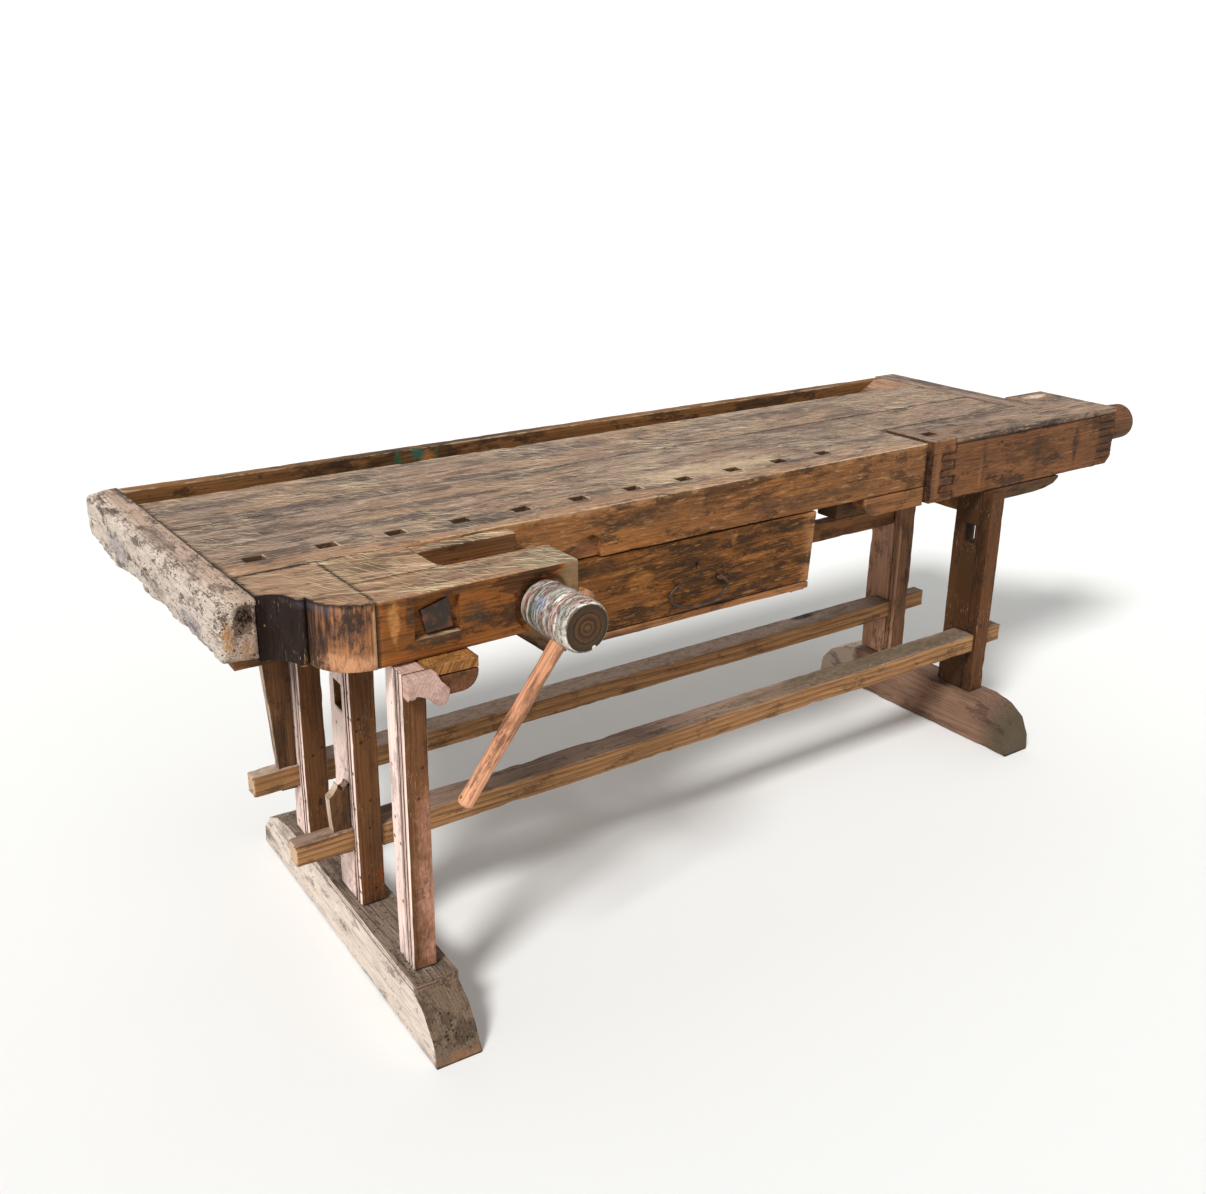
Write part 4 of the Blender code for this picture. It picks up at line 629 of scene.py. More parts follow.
def woodLook(name, grain="X", **changes):
    # an aged wood: rings, streaks and fibre, slow tint, dark stains and flecks, worn edges and dirty joints, then
    # scratches, pits, zones and patches of its own
    values = {**plainWood, **changes}
    material, tree, shader = newMaterial(name)
    coordinates = tree.nodes.new("ShaderNodeTexCoord")
    own = coordinates.outputs["Object"]
    bench = vectors(tree, "SUBTRACT", own, tuple(home.translation))   # zones and patches are in the bench frame
    turns = {"X": (0, 0, 0), "Y": (0, 0, math.radians(-90)), "Z": (0, math.radians(90), 0)}
    along = addNode(tree, "ShaderNodeMapping", {"Vector": own, "Location": values["pith"],
                                                "Rotation": values["turn"] or turns[grain]}).outputs[0]
    rings, fibre, streak = place(tree, "grain", ["Rings", "Fibre", "Streak"], Vector=along,
                                 Ring_Width=values["ringWidth"], Wander=values["wander"])
    color = over(tree, tone(*values["light"]), rings, values["rings"], values["dark"])
    color = over(tree, color, between(tree, streak, 0.38, 0.66), values["streak"], values["dark"])
    if values["tint"]:
        slow = between(tree, drawn(tree, along, (1.0, 3.0, 3.0), 3.0, 4.0), 0.4, 0.62)
        color = over(tree, color, slow, values["tintShare"], values["tint"])
    thin = between(tree, fibre, 0.46, 0.62)
    color = over(tree, color, thin, values["fibre"], values["stain"])
    if values["face"]:
        # the side turned to -X has its own colour: partly weathering, partly painted light where it is paler and
        # painted shade where it is darker
        towardSideLight = vectors(tree, "DOT_PRODUCT", coordinates.outputs["Normal"], (-1.0, 0.0, 0.0))
        share = sums(tree, "MULTIPLY", between(tree, towardSideLight, 0.3, 0.9), values["faceShare"])
        weatherAndSideLightColour = over(tree, tone(*values["face"]), between(tree, streak, 0.4, 0.7), values["faceGrain"],
                       values["light"])
        weatherAndSideLightColour = over(tree, weatherAndSideLightColour, thin, values["faceGrain"], values["dark"])
        color = mixed(tree, share, color, weatherAndSideLightColour)
    for axis, start, end, shade, share in values["zones"]:
        part = addNode(tree, "ShaderNodeSeparateXYZ", {0: bench}).outputs[axis]
        uneven = sums(tree, "MULTIPLY_ADD", noise(tree, own, 30.0, 4.0, 0.65), 0.03, -0.015)
        reach = between(tree, sums(tree, "ADD", part, uneven), start, end)
        color = over(tree, color, reach, share, shade)
    scale, low, high, strength = values["stains"]
    long = vectors(tree, "MULTIPLY", along, (values["stretch"], 1.0, 1.0))
    blot = place(tree, "stain", "Mask", Vector=long, Scale=scale, Low=low, High=high)
    blot = sums(tree, "MINIMUM", sums(tree, "MULTIPLY", blot, sums(tree, "MULTIPLY_ADD", fibre, 0.9, 0.5)), 1.0)
    color = over(tree, color, blot, strength, values["stain"])
    speck = place(tree, "stain", "Mask", Vector=vectors(tree, "MULTIPLY", along, (0.4, 1.0, 1.0)), Scale=30.0,
                  Low=0.55, High=0.63)
    color = over(tree, color, speck, values["grime"], values["stain"])
    fleck = between(tree, drawn(tree, along, (85.0, 620.0, 620.0), detail=2.0), 0.62, 0.7)
    fleck = sums(tree, "MULTIPLY", fleck, between(tree, noise(tree, along, 11.0, 3.0, 0.6), 0.45, 0.6))
    color = over(tree, color, fleck, values["flecks"], values["edge"])
    if values["coarse"]:
        lump = drawn(tree, along, (26.0, 170.0, 170.0), roughness=0.6)
        for low, high, shade in ((0.58, 0.66, "edge"), (0.44, 0.36, "stain")):
            color = over(tree, color, between(tree, lump, low, high), values["coarse"], values[shade])
    if values["patches"]:
        grainy = between(tree, drawn(tree, along, (0.35, 1.0, 1.0), 190.0, 4.0, 0.7), 0.36, 0.6)
        broken = sums(tree, "MULTIPLY_ADD", grainy, 0.75, 0.45)
    for centre, reach, shade, share, ragged in values["patches"]:
        mask = place(tree, "patch", "Mask", Vector=bench, Centre=centre, Reach=reach, Ragged=ragged)
        mask = sums(tree, "MULTIPLY", mask, sums(tree, "MULTIPLY", broken, share))
        color = mixed(tree, sums(tree, "MINIMUM", mask, 1.0), color, tone(*shade))
    seam = addNode(tree, "ShaderNodeAttribute", attribute_name="seam").outputs["Fac"]
    dirt = between(tree, sums(tree, "MULTIPLY", seam, sums(tree, "MULTIPLY_ADD", speck, 0.3, 0.85)), 0.3, 0.8)
    color = over(tree, color, dirt, values["seam"], dirtTone)
    edge = addNode(tree, "ShaderNodeAttribute", attribute_name="edge").outputs["Fac"]
    rubbed = place(tree, "edge wear", "Mask", Vector=own, Edge=edge, Amount=values["edgeAmount"])
    color = over(tree, color, rubbed, 0.75, values["edge"])
    uneven = drawn(tree, along, (0.5, 1.0, 1.0), 55.0, 5.0, 0.65)
    height = sums(tree, "ADD", sums(tree, "MULTIPLY", fibre, -0.5), sums(tree, "MULTIPLY", rings, -0.2))
    height = sums(tree, "MULTIPLY_ADD", uneven, values["dents"] * 3.0, height)
    height = sums(tree, "MULTIPLY_ADD", speck, -0.3, height)
    if values["scratches"] is not None:
        upward = vectors(tree, "DOT_PRODUCT", coordinates.outputs["Normal"], (0.0, 0.0, 1.0))
        cuts = place(tree, "scratches", "Mask", Vector=own, Amount=values["scratches"])
        cuts = sums(tree, "MULTIPLY", cuts, between(tree, upward, 0.5, 0.9))
        color = over(tree, color, cuts, 0.85, values["scratch"])
        height = sums(tree, "MULTIPLY_ADD", cuts, -0.6, height)
    if values["pits"] is not None:
        scale, amount = values["pits"]
        holes = place(tree, "pits", "Mask", Vector=own, Scale=scale, Amount=amount)
        color = over(tree, color, holes, 0.85, pitTone)
        height = sums(tree, "MULTIPLY_ADD", holes, -1.6, height)
    low, high = values["rough"]
    roughness = sums(tree, "MULTIPLY_ADD", fibre, high - low, low)
    dress(tree, shader, color, roughness, height, values["bump"], values["relief"])
    shader.inputs["Specular IOR Level"].default_value = values["sheen"]
    return material


oldIron = dict(bare=(58, 50, 44), rust=(104, 62, 38), grit=(30, 25, 22), rough=(0.42, 0.78), metal=0.7, bump=0.35,
               relief=0.0006)


def ironLook(name):
    # old forged iron: dark brown-black, with rust that follows blotchy noise
    values = oldIron
    material, tree, shader = newMaterial(name)
    own = tree.nodes.new("ShaderNodeTexCoord").outputs["Object"]
    rust = place(tree, "stain", "Mask", Vector=own, Scale=42.0, Low=0.44, High=0.66)
    grit = noise(tree, own, 480.0, 3.0, 0.7)
    color = mixed(tree, rust, tone(*values["bare"]), tone(*values["rust"]))
    color = over(tree, color, between(tree, grit, 0.5, 0.8), 0.5, values["grit"])
    low, high = values["rough"]
    rough = sums(tree, "MULTIPLY_ADD", rust, high - low, low)
    metal = sums(tree, "MULTIPLY_ADD", rust, -values["metal"] * 0.8, values["metal"])
    dress(tree, shader, color, rough, sums(tree, "ADD", grit, rust), values["bump"], values["relief"])
    tree.links.new(metal, shader.inputs["Metallic"])
    return material


# The coats are (shift of the noise, its low and high level, colour), oldest first; the end bands (share of the
# radius, colour), from the middle outwards; the drops white spots of paint, placed from the end face's middle
headPaint = dict(
    wood=((92, 66, 44), (134, 102, 76)), shaft=((116, 82, 54), (172, 132, 94)),
    coats=((0.0, 0.45, 0.52, (188, 180, 172)), (7.0, 0.52, 0.60, (118, 144, 138)),
           (13.0, 0.55, 0.62, (180, 124, 116)), (19.0, 0.57, 0.64, (126, 142, 108)),
           (29.0, 0.56, 0.62, (232, 226, 214))),
    paintedSheen=(158, 176, 196), flaked=(74, 54, 42), white=(220, 214, 200), bare=(112, 82, 56), groove=(60, 48, 42),
    grooveAt=0.79, dirt=(44, 32, 22), middle=(82, 54, 32), rim=(150, 122, 84),
    endBands=((0.10, (104, 72, 36)), (0.20, (50, 32, 15)), (0.30, (100, 62, 28)), (0.36, (44, 29, 15)),
              (0.56, (92, 56, 24)), (0.61, (34, 24, 13)), (0.66, (70, 50, 24)), (0.88, (50, 36, 17)),
              (0.95, (84, 62, 32))),
    drop=(236, 226, 210), drops=((0.013, 0.0, -0.0355), (0.020, 0.11438, 0.041)), sheen=0.3, bump=0.55,
    relief=0.0009)


def paintLook(name, end, depth, radius):
    # The vise screw's turned head: what is left of several coats of paint, in thin bands round the barrel, and bare
    # end grain with its turned rings. end is the middle of its end face, depth the barrel's length.
    p = headPaint
    material, tree, shader = newMaterial(name)
    own = tree.nodes.new("ShaderNodeTexCoord").outputs["Object"]
    near = vectors(tree, "SUBTRACT", own, tuple(home @ Vector(end)))
    away = addNode(tree, "ShaderNodeSeparateXYZ", {0: near}).outputs[1]
    reach = vectors(tree, "LENGTH", vectors(tree, "MULTIPLY", near, (1.0, 0.0, 1.0)))
    darkWood, lightWood = p["wood"]
    color = mixed(tree, drawn(tree, near, (14.0, 4.0, 240.0)), tone(*darkWood), tone(*lightWood))
    for shift, low, high, coat in p["coats"]:
        moved = vectors(tree, "ADD", vectors(tree, "MULTIPLY", near, (16.0, 170.0, 16.0)), (shift, shift, shift))
        layer = between(tree, noise(tree, moved, 1.0, 4.0, 0.65), low, high)
        color = mixed(tree, layer, color, tone(*coat))
    # a bluish patch on the barrel's upper left: a painted sheen, a highlight laid into the paint's colour
    paintedSheenMask = place(tree, "patch", "Mask", Vector=near, Centre=(-0.03, depth * 0.62, 0.022), Reach=(0.03, 0.02, 0.018),
                Ragged=1.2)
    color = over(tree, color, paintedSheenMask, 0.7, p["paintedSheen"])
    flaked = between(tree, drawn(tree, near, (1.0, 2.6, 1.0), 95.0, 5.0, 0.7), 0.51, 0.57)
    color = over(tree, color, flaked, 0.8, p["flaked"])
    front = place(tree, "patch", "Mask", Vector=near, Centre=(-0.038, 0.014, -0.022), Reach=(0.026, 0.02, 0.036),
                  Ragged=0.9)
    chipped = between(tree, noise(tree, near, 70.0, 4.0, 0.7), 0.44, 0.5)
    color = over(tree, color, front, chipped, p["white"])
    bare = between(tree, noise(tree, near, 48.0, 4.0, 0.7), 0.56, 0.6)
    color = over(tree, color, front, bare, p["bare"])
    beside = sums(tree, "ABSOLUTE", sums(tree, "SUBTRACT", away, depth * p["grooveAt"]))
    color = over(tree, color, between(tree, beside, 0.004, 0.0015), 0.7, p["groove"])
    darkShaft, lightShaft = p["shaft"]
    shaft = mixed(tree, drawn(tree, near, (170.0, 9.0, 170.0), detail=4.0), tone(*darkShaft), tone(*lightShaft))
    color = mixed(tree, between(tree, away, depth - 0.004, depth - 0.001), color, shaft)
    # the end face: bands by distance from the axis
    ringAt = sums(tree, "MULTIPLY_ADD", noise(tree, near, 90.0, 4.0, 0.6), 0.004, reach)
    face = addNode(tree, "ShaderNodeValToRGB", {0: sums(tree, "DIVIDE", ringAt, radius)})
    ramp = face.color_ramp
    for at, shade in p["endBands"]:
        stop = ramp.elements.new(at)
        stop.color = tone(*shade)
    ramp.elements[0].color = tone(*p["middle"])
    ramp.elements[-1].color = tone(*p["rim"])
    flat = sums(tree, "MULTIPLY", sums(tree, "SUBTRACT", 1.0, between(tree, away, 0.003, 0.006)),
                sums(tree, "SUBTRACT", 1.0, between(tree, ringAt, radius - 0.0045, radius - 0.0025)))
    color = mixed(tree, flat, color, face.outputs[0])
    dirt = between(tree, noise(tree, near, 210.0, 4.0, 0.7), 0.54, 0.64)
    color = over(tree, color, sums(tree, "MULTIPLY", flat, dirt), 0.6, p["dirt"])
    for centre in p["drops"]:
        apart = vectors(tree, "LENGTH", vectors(tree, "SUBTRACT", near, centre))
        dot = sums(tree, "SUBTRACT", 1.0, between(tree, apart, 0.0036, 0.0044))
        color = mixed(tree, dot, color, tone(*p["drop"]))
    rough = sums(tree, "MULTIPLY_ADD", flaked, 0.3, 0.36)
    rough = sums(tree, "MAXIMUM", rough, sums(tree, "MULTIPLY", flat, 0.66))
    height = sums(tree, "MULTIPLY_ADD", flaked, -0.8, noise(tree, near, 260.0, 4.0, 0.7))
    dress(tree, shader, color, rough, height, p["bump"], p["relief"])
    shader.inputs["Specular IOR Level"].default_value = p["sheen"]
    return material


# What the bench top's planks and the tail vise's top share, then every finish of the bench. A zone is (axis, where
# it starts, where it is full, colour, share); a patch is (centre, half sizes, colour, share, how ragged it is).
workTop = dict(rings=0.45, ringWidth=0.011, streak=0.85, fibre=0.6, stains=(22.0, 0.52, 0.60, 0.75), stretch=0.15,
               flecks=0.7, rough=(0.5, 0.75))
looks = {
    "top": woodLook("worn top wood", "X", **workTop, light=(164, 138, 116), dark=(118, 94, 78), stain=(64, 52, 47),
        edge=(214, 190, 160), tint=(158, 118, 84), grime=0.75, coarse=0.45, scratches=0.5,
        edgeAmount=0.35, scratch=(216, 196, 160),
        zones=((1, 0.08, -0.02, (168, 124, 86), 0.6), (0, 1.20, 1.75, (128, 106, 88), 0.45)),
        patches=(((0.10, 0.40, 0.77), (0.17, 0.028, 0.03), (60, 50, 52), 0.75, 0.9),
                 ((0.30, 0.31, 0.77), (0.22, 0.02, 0.03), (60, 50, 50), 0.7, 0.9),
                 ((0.13, 0.20, 0.77), (0.10, 0.03, 0.03), (70, 56, 52), 0.6, 1.0),
                 ((0.46, 0.20, 0.77), (0.16, 0.016, 0.03), (76, 62, 58), 0.5, 1.0),
                 ((0.85, 0.40, 0.77), (0.22, 0.022, 0.03), (72, 60, 58), 0.6, 1.0),
                 ((1.35, 0.28, 0.77), (0.25, 0.02, 0.03), (76, 62, 56), 0.6, 1.0),
                 ((1.52, 0.26, 0.77), (0.22, 0.03, 0.03), (84, 68, 60), 0.55, 1.2),
                 ((0.10, 0.0, 0.77), (0.14, 0.007, 0.03), (34, 25, 20), 1.6, 0.25),
                 ((1.05, 0.10, 0.77), (0.22, 0.05, 0.03), (200, 176, 140), 0.45, 1.4))),
    "tailTop": woodLook("tail vise top wood", "X", **workTop, light=(158, 132, 110), dark=(112, 88, 72),
        stain=(58, 46, 40), edge=(176, 148, 120), tint=(140, 104, 76), grime=0.8, coarse=0.6,
        scratches=0.45, scratch=(206, 182, 148), seam=0.9, edgeAmount=-0.35,
        patches=(((2.24, 0.20, 0.77), (0.045, 0.016, 0.03), (222, 192, 172), 0.9, 1.2),
                 ((2.286, 0.166, 0.77), (0.012, 0.008, 0.03), (46, 36, 32), 0.9, 0.5),
                 ((1.660, 0.10, 0.77), (0.05, 0.06, 0.03), (84, 66, 54), 0.5, 1.2))),
    "apron": woodLook("front strip wood", "X", light=(186, 122, 64), dark=(130, 80, 40), stain=(50, 35, 24),
        edge=(206, 164, 116), tint=(110, 74, 46), tintShare=0.6, rings=0.6, ringWidth=0.008,
        stains=(7.0, 0.52, 0.62, 0.72), stretch=0.3, grime=0.65, flecks=0.4, coarse=0.3,
        pits=(150.0, 0.36),
        # the second zone darkens what lies 3 cm and more behind the front: painted shade inside the dog holes
        zones=((2, 0.756, 0.767, (164, 120, 82), 0.8), (1, 0.028, 0.045, (74, 54, 40), 0.9),
               (0, 1.05, 1.35, (104, 72, 48), 0.4), (0, 1.588, 1.600, (56, 40, 30), 0.9)),
        patches=(((0.665, 0.014, 0.685), (0.05, 0.012, 0.03), (150, 100, 72), 0.6, 0.8),
                 ((0.84, 0.0, 0.735), (0.16, 0.02, 0.02), (74, 54, 38), 0.45, 1.1),
                 ((1.22, 0.0, 0.70), (0.20, 0.02, 0.018), (70, 50, 36), 0.6, 0.9),
                 ((0.362, 0.0, 0.694), (0.024, 0.02, 0.02), (52, 36, 27), 0.9, 0.6),
                 ((0.358, 0.0, 0.712), (0.018, 0.02, 0.0045), (178, 132, 104), 0.8, 0.5))),
    "cap": woodLook("bleached cap wood", "Y", light=(228, 208, 190), dark=(164, 140, 120), stain=(84, 66, 58),
        edge=(242, 234, 222), rings=0.3, face=(214, 200, 186), faceShare=0.85, pits=(120.0, 0.76),
        stains=(44.0, 0.54, 0.60, 0.85), stretch=0.45, bump=1.0, dents=1.4, relief=0.004, grime=0.6,
        fibre=0.6,
        zones=((0, -0.044, -0.026, (186, 156, 134), 0.7),), edgeAmount=0.4,
        patches=(((-0.067, 0.43, 0.712), (0.02, 0.07, 0.03), (126, 120, 126), 0.6, 1.4),
                 ((-0.067, 0.20, 0.70), (0.02, 0.05, 0.014), (128, 112, 104), 0.6, 1.4),
                 ((-0.067, 0.02, 0.70), (0.02, 0.06, 0.02), (134, 128, 134), 0.6, 1.4),
                 ((-0.030, 0.26, 0.77), (0.02, 0.05, 0.02), (110, 92, 84), 0.5, 1.2),
                 ((-0.048, -0.108, 0.715), (0.013, 0.03, 0.035), (182, 128, 72), 0.75, 1.0),
                 ((-0.019, -0.108, 0.692), (0.016, 0.02, 0.018), (168, 132, 96), 0.7, 0.3),
                 ((-0.019, -0.105, 0.738), (0.019, 0.035, 0.028), (50, 35, 24), 1.0, 0.5))),
    "rightCap": woodLook("right cap wood", "Y", light=(154, 130, 112), dark=(112, 90, 74), stain=(60, 48, 41),
        edge=(178, 154, 134), stains=(12.0, 0.53, 0.62, 0.7), coarse=0.5, edgeAmount=-0.3,
        seam=0.5),
    "tray": woodLook("tray wood", "X", light=(156, 118, 78), dark=(112, 82, 54), stain=(60, 46, 32),
        edge=(206, 180, 146), stains=(7.0, 0.5, 0.6, 0.8), grime=0.7, edgeAmount=0.35),
    "backRail": woodLook("back rail wood", "X", light=(142, 98, 56), dark=(100, 68, 38), stain=(50, 36, 25),
        edge=(184, 160, 132), stains=(7.0, 0.52, 0.62, 0.8), grime=0.7, edgeAmount=0.45,
        patches=(((0.655, 0.585, 0.742), (0.022, 0.02, 0.02), (190, 132, 74), 0.6, 0.8),
                 ((0.585, 0.585, 0.744), (0.012, 0.02, 0.024), (50, 92, 64), 0.9, 0.6),
                 ((0.632, 0.585, 0.752), (0.021, 0.02, 0.015), (54, 98, 84), 0.9, 0.6),
                 ((0.678, 0.585, 0.748), (0.005, 0.02, 0.02), (62, 98, 60), 0.7, 0.6))),
    "pink": woodLook("pinkish wood", "Y", light=(206, 172, 158), dark=(166, 130, 116), stain=(104, 76, 64),
        edge=(226, 200, 186), stains=(7.0, 0.56, 0.66, 0.5), grime=0.25, fibre=0.3, seam=0.5),
    "blockWood": woodLook("ogee block wood", "Z", light=(172, 116, 76), dark=(106, 70, 46), stain=(40, 31, 27),
        edge=(206, 166, 124), stains=(15.0, 0.46, 0.55, 0.92), stretch=0.1, grime=0.8,
        flecks=0.7,
        zones=((0, 0.060, 0.050, (20, 10, 4), 0.97),),
        patches=(((0.085, -0.16, 0.762), (0.05, 0.07, 0.010), (88, 86, 96), 0.35, 1.4),
                 ((0.120, -0.21, 0.672), (0.07, 0.06, 0.022), (204, 150, 112), 0.7, 1.2),
                 ((0.110, -0.20, 0.735), (0.03, 0.04, 0.03), (46, 38, 40), 0.6, 1.4),
                 ((0.139, -0.222, 0.71), (0.004, 0.02, 0.08), (196, 162, 120), 0.8, 0.4))),
    "spacer": woodLook("shoulder top wood", "X", light=(180, 144, 114), dark=(126, 98, 78), stain=(66, 54, 46),
        scratches=0.6, edge=(186, 154, 120), scratch=(220, 202, 160), tint=(156, 112, 78), flecks=0.6,
        edgeAmount=-0.2, stains=(20.0, 0.53, 0.61, 0.75), stretch=0.18,
        patches=(((0.20, -0.05, 0.77), (0.07, 0.05, 0.02), (84, 68, 50), 0.55, 1.5),
                 ((0.10, 0.0, 0.77), (0.14, 0.006, 0.02), (34, 25, 20), 1.6, 0.25),
                 ((0.46, -0.19, 0.77), (0.06, 0.04, 0.02), (142, 134, 112), 0.45, 1.5))),
    "arm": woodLook("arm wood", "X", light=(174, 104, 44), dark=(118, 70, 30), stain=(46, 33, 22),
        edge=(206, 160, 112), tint=(114, 70, 34), tintShare=0.6, stains=(14.0, 0.53, 0.61, 0.8),
        stretch=0.4, grime=0.6, flecks=0.3,
        patches=(((0.315, -0.222, 0.712), (0.03, 0.03, 0.026), (56, 50, 40), 0.85, 1.3),
                 ((0.235, -0.222, 0.685), (0.06, 0.03, 0.012), (58, 48, 38), 0.8, 1.1),
                 ((0.382, -0.222, 0.700), (0.02, 0.03, 0.02), (72, 52, 34), 0.7, 1.2),
                 ((0.196, -0.222, 0.73), (0.008, 0.03, 0.035), (56, 44, 34), 0.8, 0.9),
                 ((0.245, -0.216, 0.762), (0.11, 0.02, 0.007), (62, 46, 34), 0.7, 1.0),
                 ((0.170, -0.222, 0.715), (0.009, 0.02, 0.055), (208, 148, 88), 0.45, 1.8),
                 ((0.494, -0.222, 0.735), (0.022, 0.1, 0.035), (130, 118, 92), 0.7, 1.4))),
    # the chop's dark colours are painted shade, for its face in the slot behind the arm
    "chop": woodLook("vise chop wood in painted shade", "X", light=(122, 80, 44), dark=(84, 54, 30), stain=(40, 30, 22),
        edge=(150, 112, 80), stains=(7.0, 0.48, 0.58, 0.8), edgeAmount=-0.4, seam=0.3),
    "orange": woodLook("orange brown wood", "X", light=(154, 104, 64), dark=(108, 71, 43), stain=(54, 39, 29),
        edge=(190, 146, 106)),
    "orangeUpright": woodLook("orange brown wood upright", "Z", light=(122, 84, 54), dark=(86, 58, 36),
        stain=(50, 36, 27), edge=(196, 154, 112), face=(236, 212, 186), faceShare=0.85),
    "tailFront": woodLook("tail vise front wood", "X", light=(134, 88, 54), dark=(92, 58, 34), stain=(48, 34, 25),
        # the zone darkens what lies 3 cm and more behind the front: painted shade inside the jaw's dog hole
        zones=((1, 0.030, 0.045, (74, 54, 40), 0.85),), edge=(150, 112, 80),
        stains=(9.0, 0.49, 0.64, 0.6), stretch=0.45, grime=0.75, flecks=0.35, coarse=0.3,
        seam=0.6, edgeAmount=-0.2,
        patches=(((1.624, 0.0, 0.69), (0.004, 0.02, 0.1), (36, 26, 20), 0.9, 0.4),
                 ((1.645, 0.0, 0.69), (0.010, 0.02, 0.07), (140, 100, 66), 0.5, 1.0),
                 ((1.795, 0.0, 0.68), (0.007, 0.02, 0.05), (168, 118, 76), 0.5, 1.0),
                 ((1.672, 0.0, 0.69), (0.018, 0.02, 0.08), (56, 41, 32), 0.6, 0.8),
                 ((1.80, 0.0, 0.70), (0.012, 0.02, 0.06), (60, 44, 34), 0.5, 0.9),
                 ((2.00, 0.0, 0.69), (0.016, 0.02, 0.07), (60, 44, 34), 0.4, 0.9),
                 ((2.15, 0.0, 0.70), (0.012, 0.02, 0.06), (50, 36, 27), 0.75, 0.9),
                 ((2.27, 0.0, 0.69), (0.03, 0.02, 0.08), (56, 41, 32), 0.6, 0.8))),
    "paint": paintLook("flaking paint", (0.438, -0.349, 0.705), 0.133, 0.045),
    "handle": woodLook("handle wood", turn=(0, math.radians(53), 0), light=(224, 164, 126), dark=(176, 116, 82),
        stain=(86, 56, 40), grime=0.6, stains=(12.0, 0.56, 0.64, 0.6)),
    "ramp": woodLook("tray ramp wood", "Y", light=(182, 142, 112), dark=(142, 106, 82), stain=(84, 62, 50),
        edge=(204, 174, 146)),
    "pale": woodLook("pale board wood", "Z", light=(186, 130, 70), dark=(142, 92, 44), stain=(98, 64, 34),
        turn=(0, math.radians(62), 0), fibre=0.8, rings=0.3),
    "red": woodLook("red brown wood", "X", light=(116, 78, 50), dark=(80, 53, 35), stain=(42, 30, 24),
        edge=(164, 118, 84)),
    "darkWood": woodLook("dark brown wood", "X", light=(96, 68, 44), dark=(66, 46, 30), stain=(38, 28, 21),
        edge=(130, 98, 70), edgeAmount=-0.3),
    "redUpright": woodLook("red brown wood upright", "Y", light=(126, 82, 54), dark=(86, 56, 38),
        stain=(44, 32, 25), edge=(164, 118, 84)),
    "drawer": woodLook("drawer front wood", "X", light=(134, 83, 38), dark=(86, 53, 24), stain=(42, 29, 17),
        edge=(190, 134, 78), stains=(14.0, 0.48, 0.58, 0.85), stretch=0.2, fibre=0.6, flecks=0.45,
        coarse=0.35, grime=0.75, zones=((0, 1.225, 1.262, (172, 124, 80), 0.7),),
        patches=(((0.74, -0.001, 0.63), (0.05, 0.02, 0.006), (196, 134, 66), 0.35, 1.4),
                 ((1.10, -0.001, 0.60), (0.07, 0.02, 0.006), (196, 134, 66), 0.35, 1.4),
                 ((0.85, -0.001, 0.55), (0.07, 0.02, 0.006), (190, 128, 62), 0.35, 1.4),
                 ((1.040, -0.001, 0.640), (0.010, 0.02, 0.030), (180, 126, 68), 0.35, 3.0),
                 ((0.800, -0.001, 0.60), (0.03, 0.02, 0.02), (176, 116, 54), 0.4, 1.4),
                 ((0.70, -0.001, 0.645), (0.09, 0.02, 0.02), (56, 38, 22), 0.7, 1.0),
                 ((0.98, -0.001, 0.61), (0.06, 0.02, 0.02), (56, 38, 22), 0.5, 1.0))),
    "drawerLip": woodLook("drawer bottom wood", "X", light=(166, 112, 68), dark=(122, 79, 45)),
    "drawerInside": woodLook("drawer side wood", "Y", light=(168, 128, 88), dark=(128, 92, 60)),
    # the legs' sides turned to -X are near white: painted light where the light falls on them, partly sun bleaching
    "leg": woodLook("left trestle leg wood", "Z", light=(114, 74, 42), dark=(80, 51, 29), stain=(50, 34, 22),
        edge=(214, 182, 160), face=(255, 228, 216), faceShare=0.96, faceGrain=0.2,
        stains=(8.0, 0.56, 0.66, 0.6), grime=0.35, ringWidth=0.008, seam=0.22, pits=(48.0, 0.50),
        patches=(((0.215, 0.02, 0.19), (0.04, 0.05, 0.07), (128, 58, 22), 0.6, 2.0),
                 ((0.202, -0.217, 0.27), (0.036, 0.05, 0.26), (192, 138, 114), 0.85, 0.5))),
    # the right front leg's side turned to -X is near black: painted shade, where the bench shades it
    "rightLeg": woodLook("right front leg wood", "Z", light=(106, 66, 36), dark=(74, 47, 26), stain=(46, 32, 21),
        edge=(190, 152, 116), face=(60, 37, 17), faceShare=0.9, flecks=0.6, grime=0.7, seam=0.5,
        # a near-black patch in the leg's square hole: painted shade
        patches=(((1.838, 0.03, 0.513), (0.021, 0.03, 0.04), (24, 16, 10), 1.2, 0.3),)),
    # the right rear leg's side turned to -X is paler: painted light over the shadow it stands in
    "rightRear": woodLook("right rear leg wood", "Z", light=(140, 98, 68), dark=(100, 68, 46),
        stain=(58, 42, 33), edge=(190, 152, 116), face=(190, 144, 116), faceShare=0.9,
        seam=0.5),
    "stretcher": woodLook("stretcher wood", "X", light=(176, 130, 86), dark=(112, 76, 46), stain=(62, 45, 32),
        edge=(204, 174, 140), rings=0.95, ringWidth=0.011, streak=0.3, stains=(6.0, 0.6, 0.7, 0.5),
        face=(222, 194, 164), faceShare=0.75),
    "stretcherTop": woodLook("stretcher top wood", "X", light=(158, 132, 114), dark=(118, 97, 80),
        stain=(66, 53, 42), edge=(190, 166, 140), stains=(9.0, 0.52, 0.62, 0.6),
        patches=(((1.50, 0.006, 0.268), (0.42, 0.05, 0.03), (92, 80, 60), 0.8, 0.8),
                 # the pale band along the rear stretcher's top is painted light, where the bench top shades it
                 ((0.80, 0.281, 0.268), (1.00, 0.05, 0.03), (206, 182, 164), 0.75, 0.5),
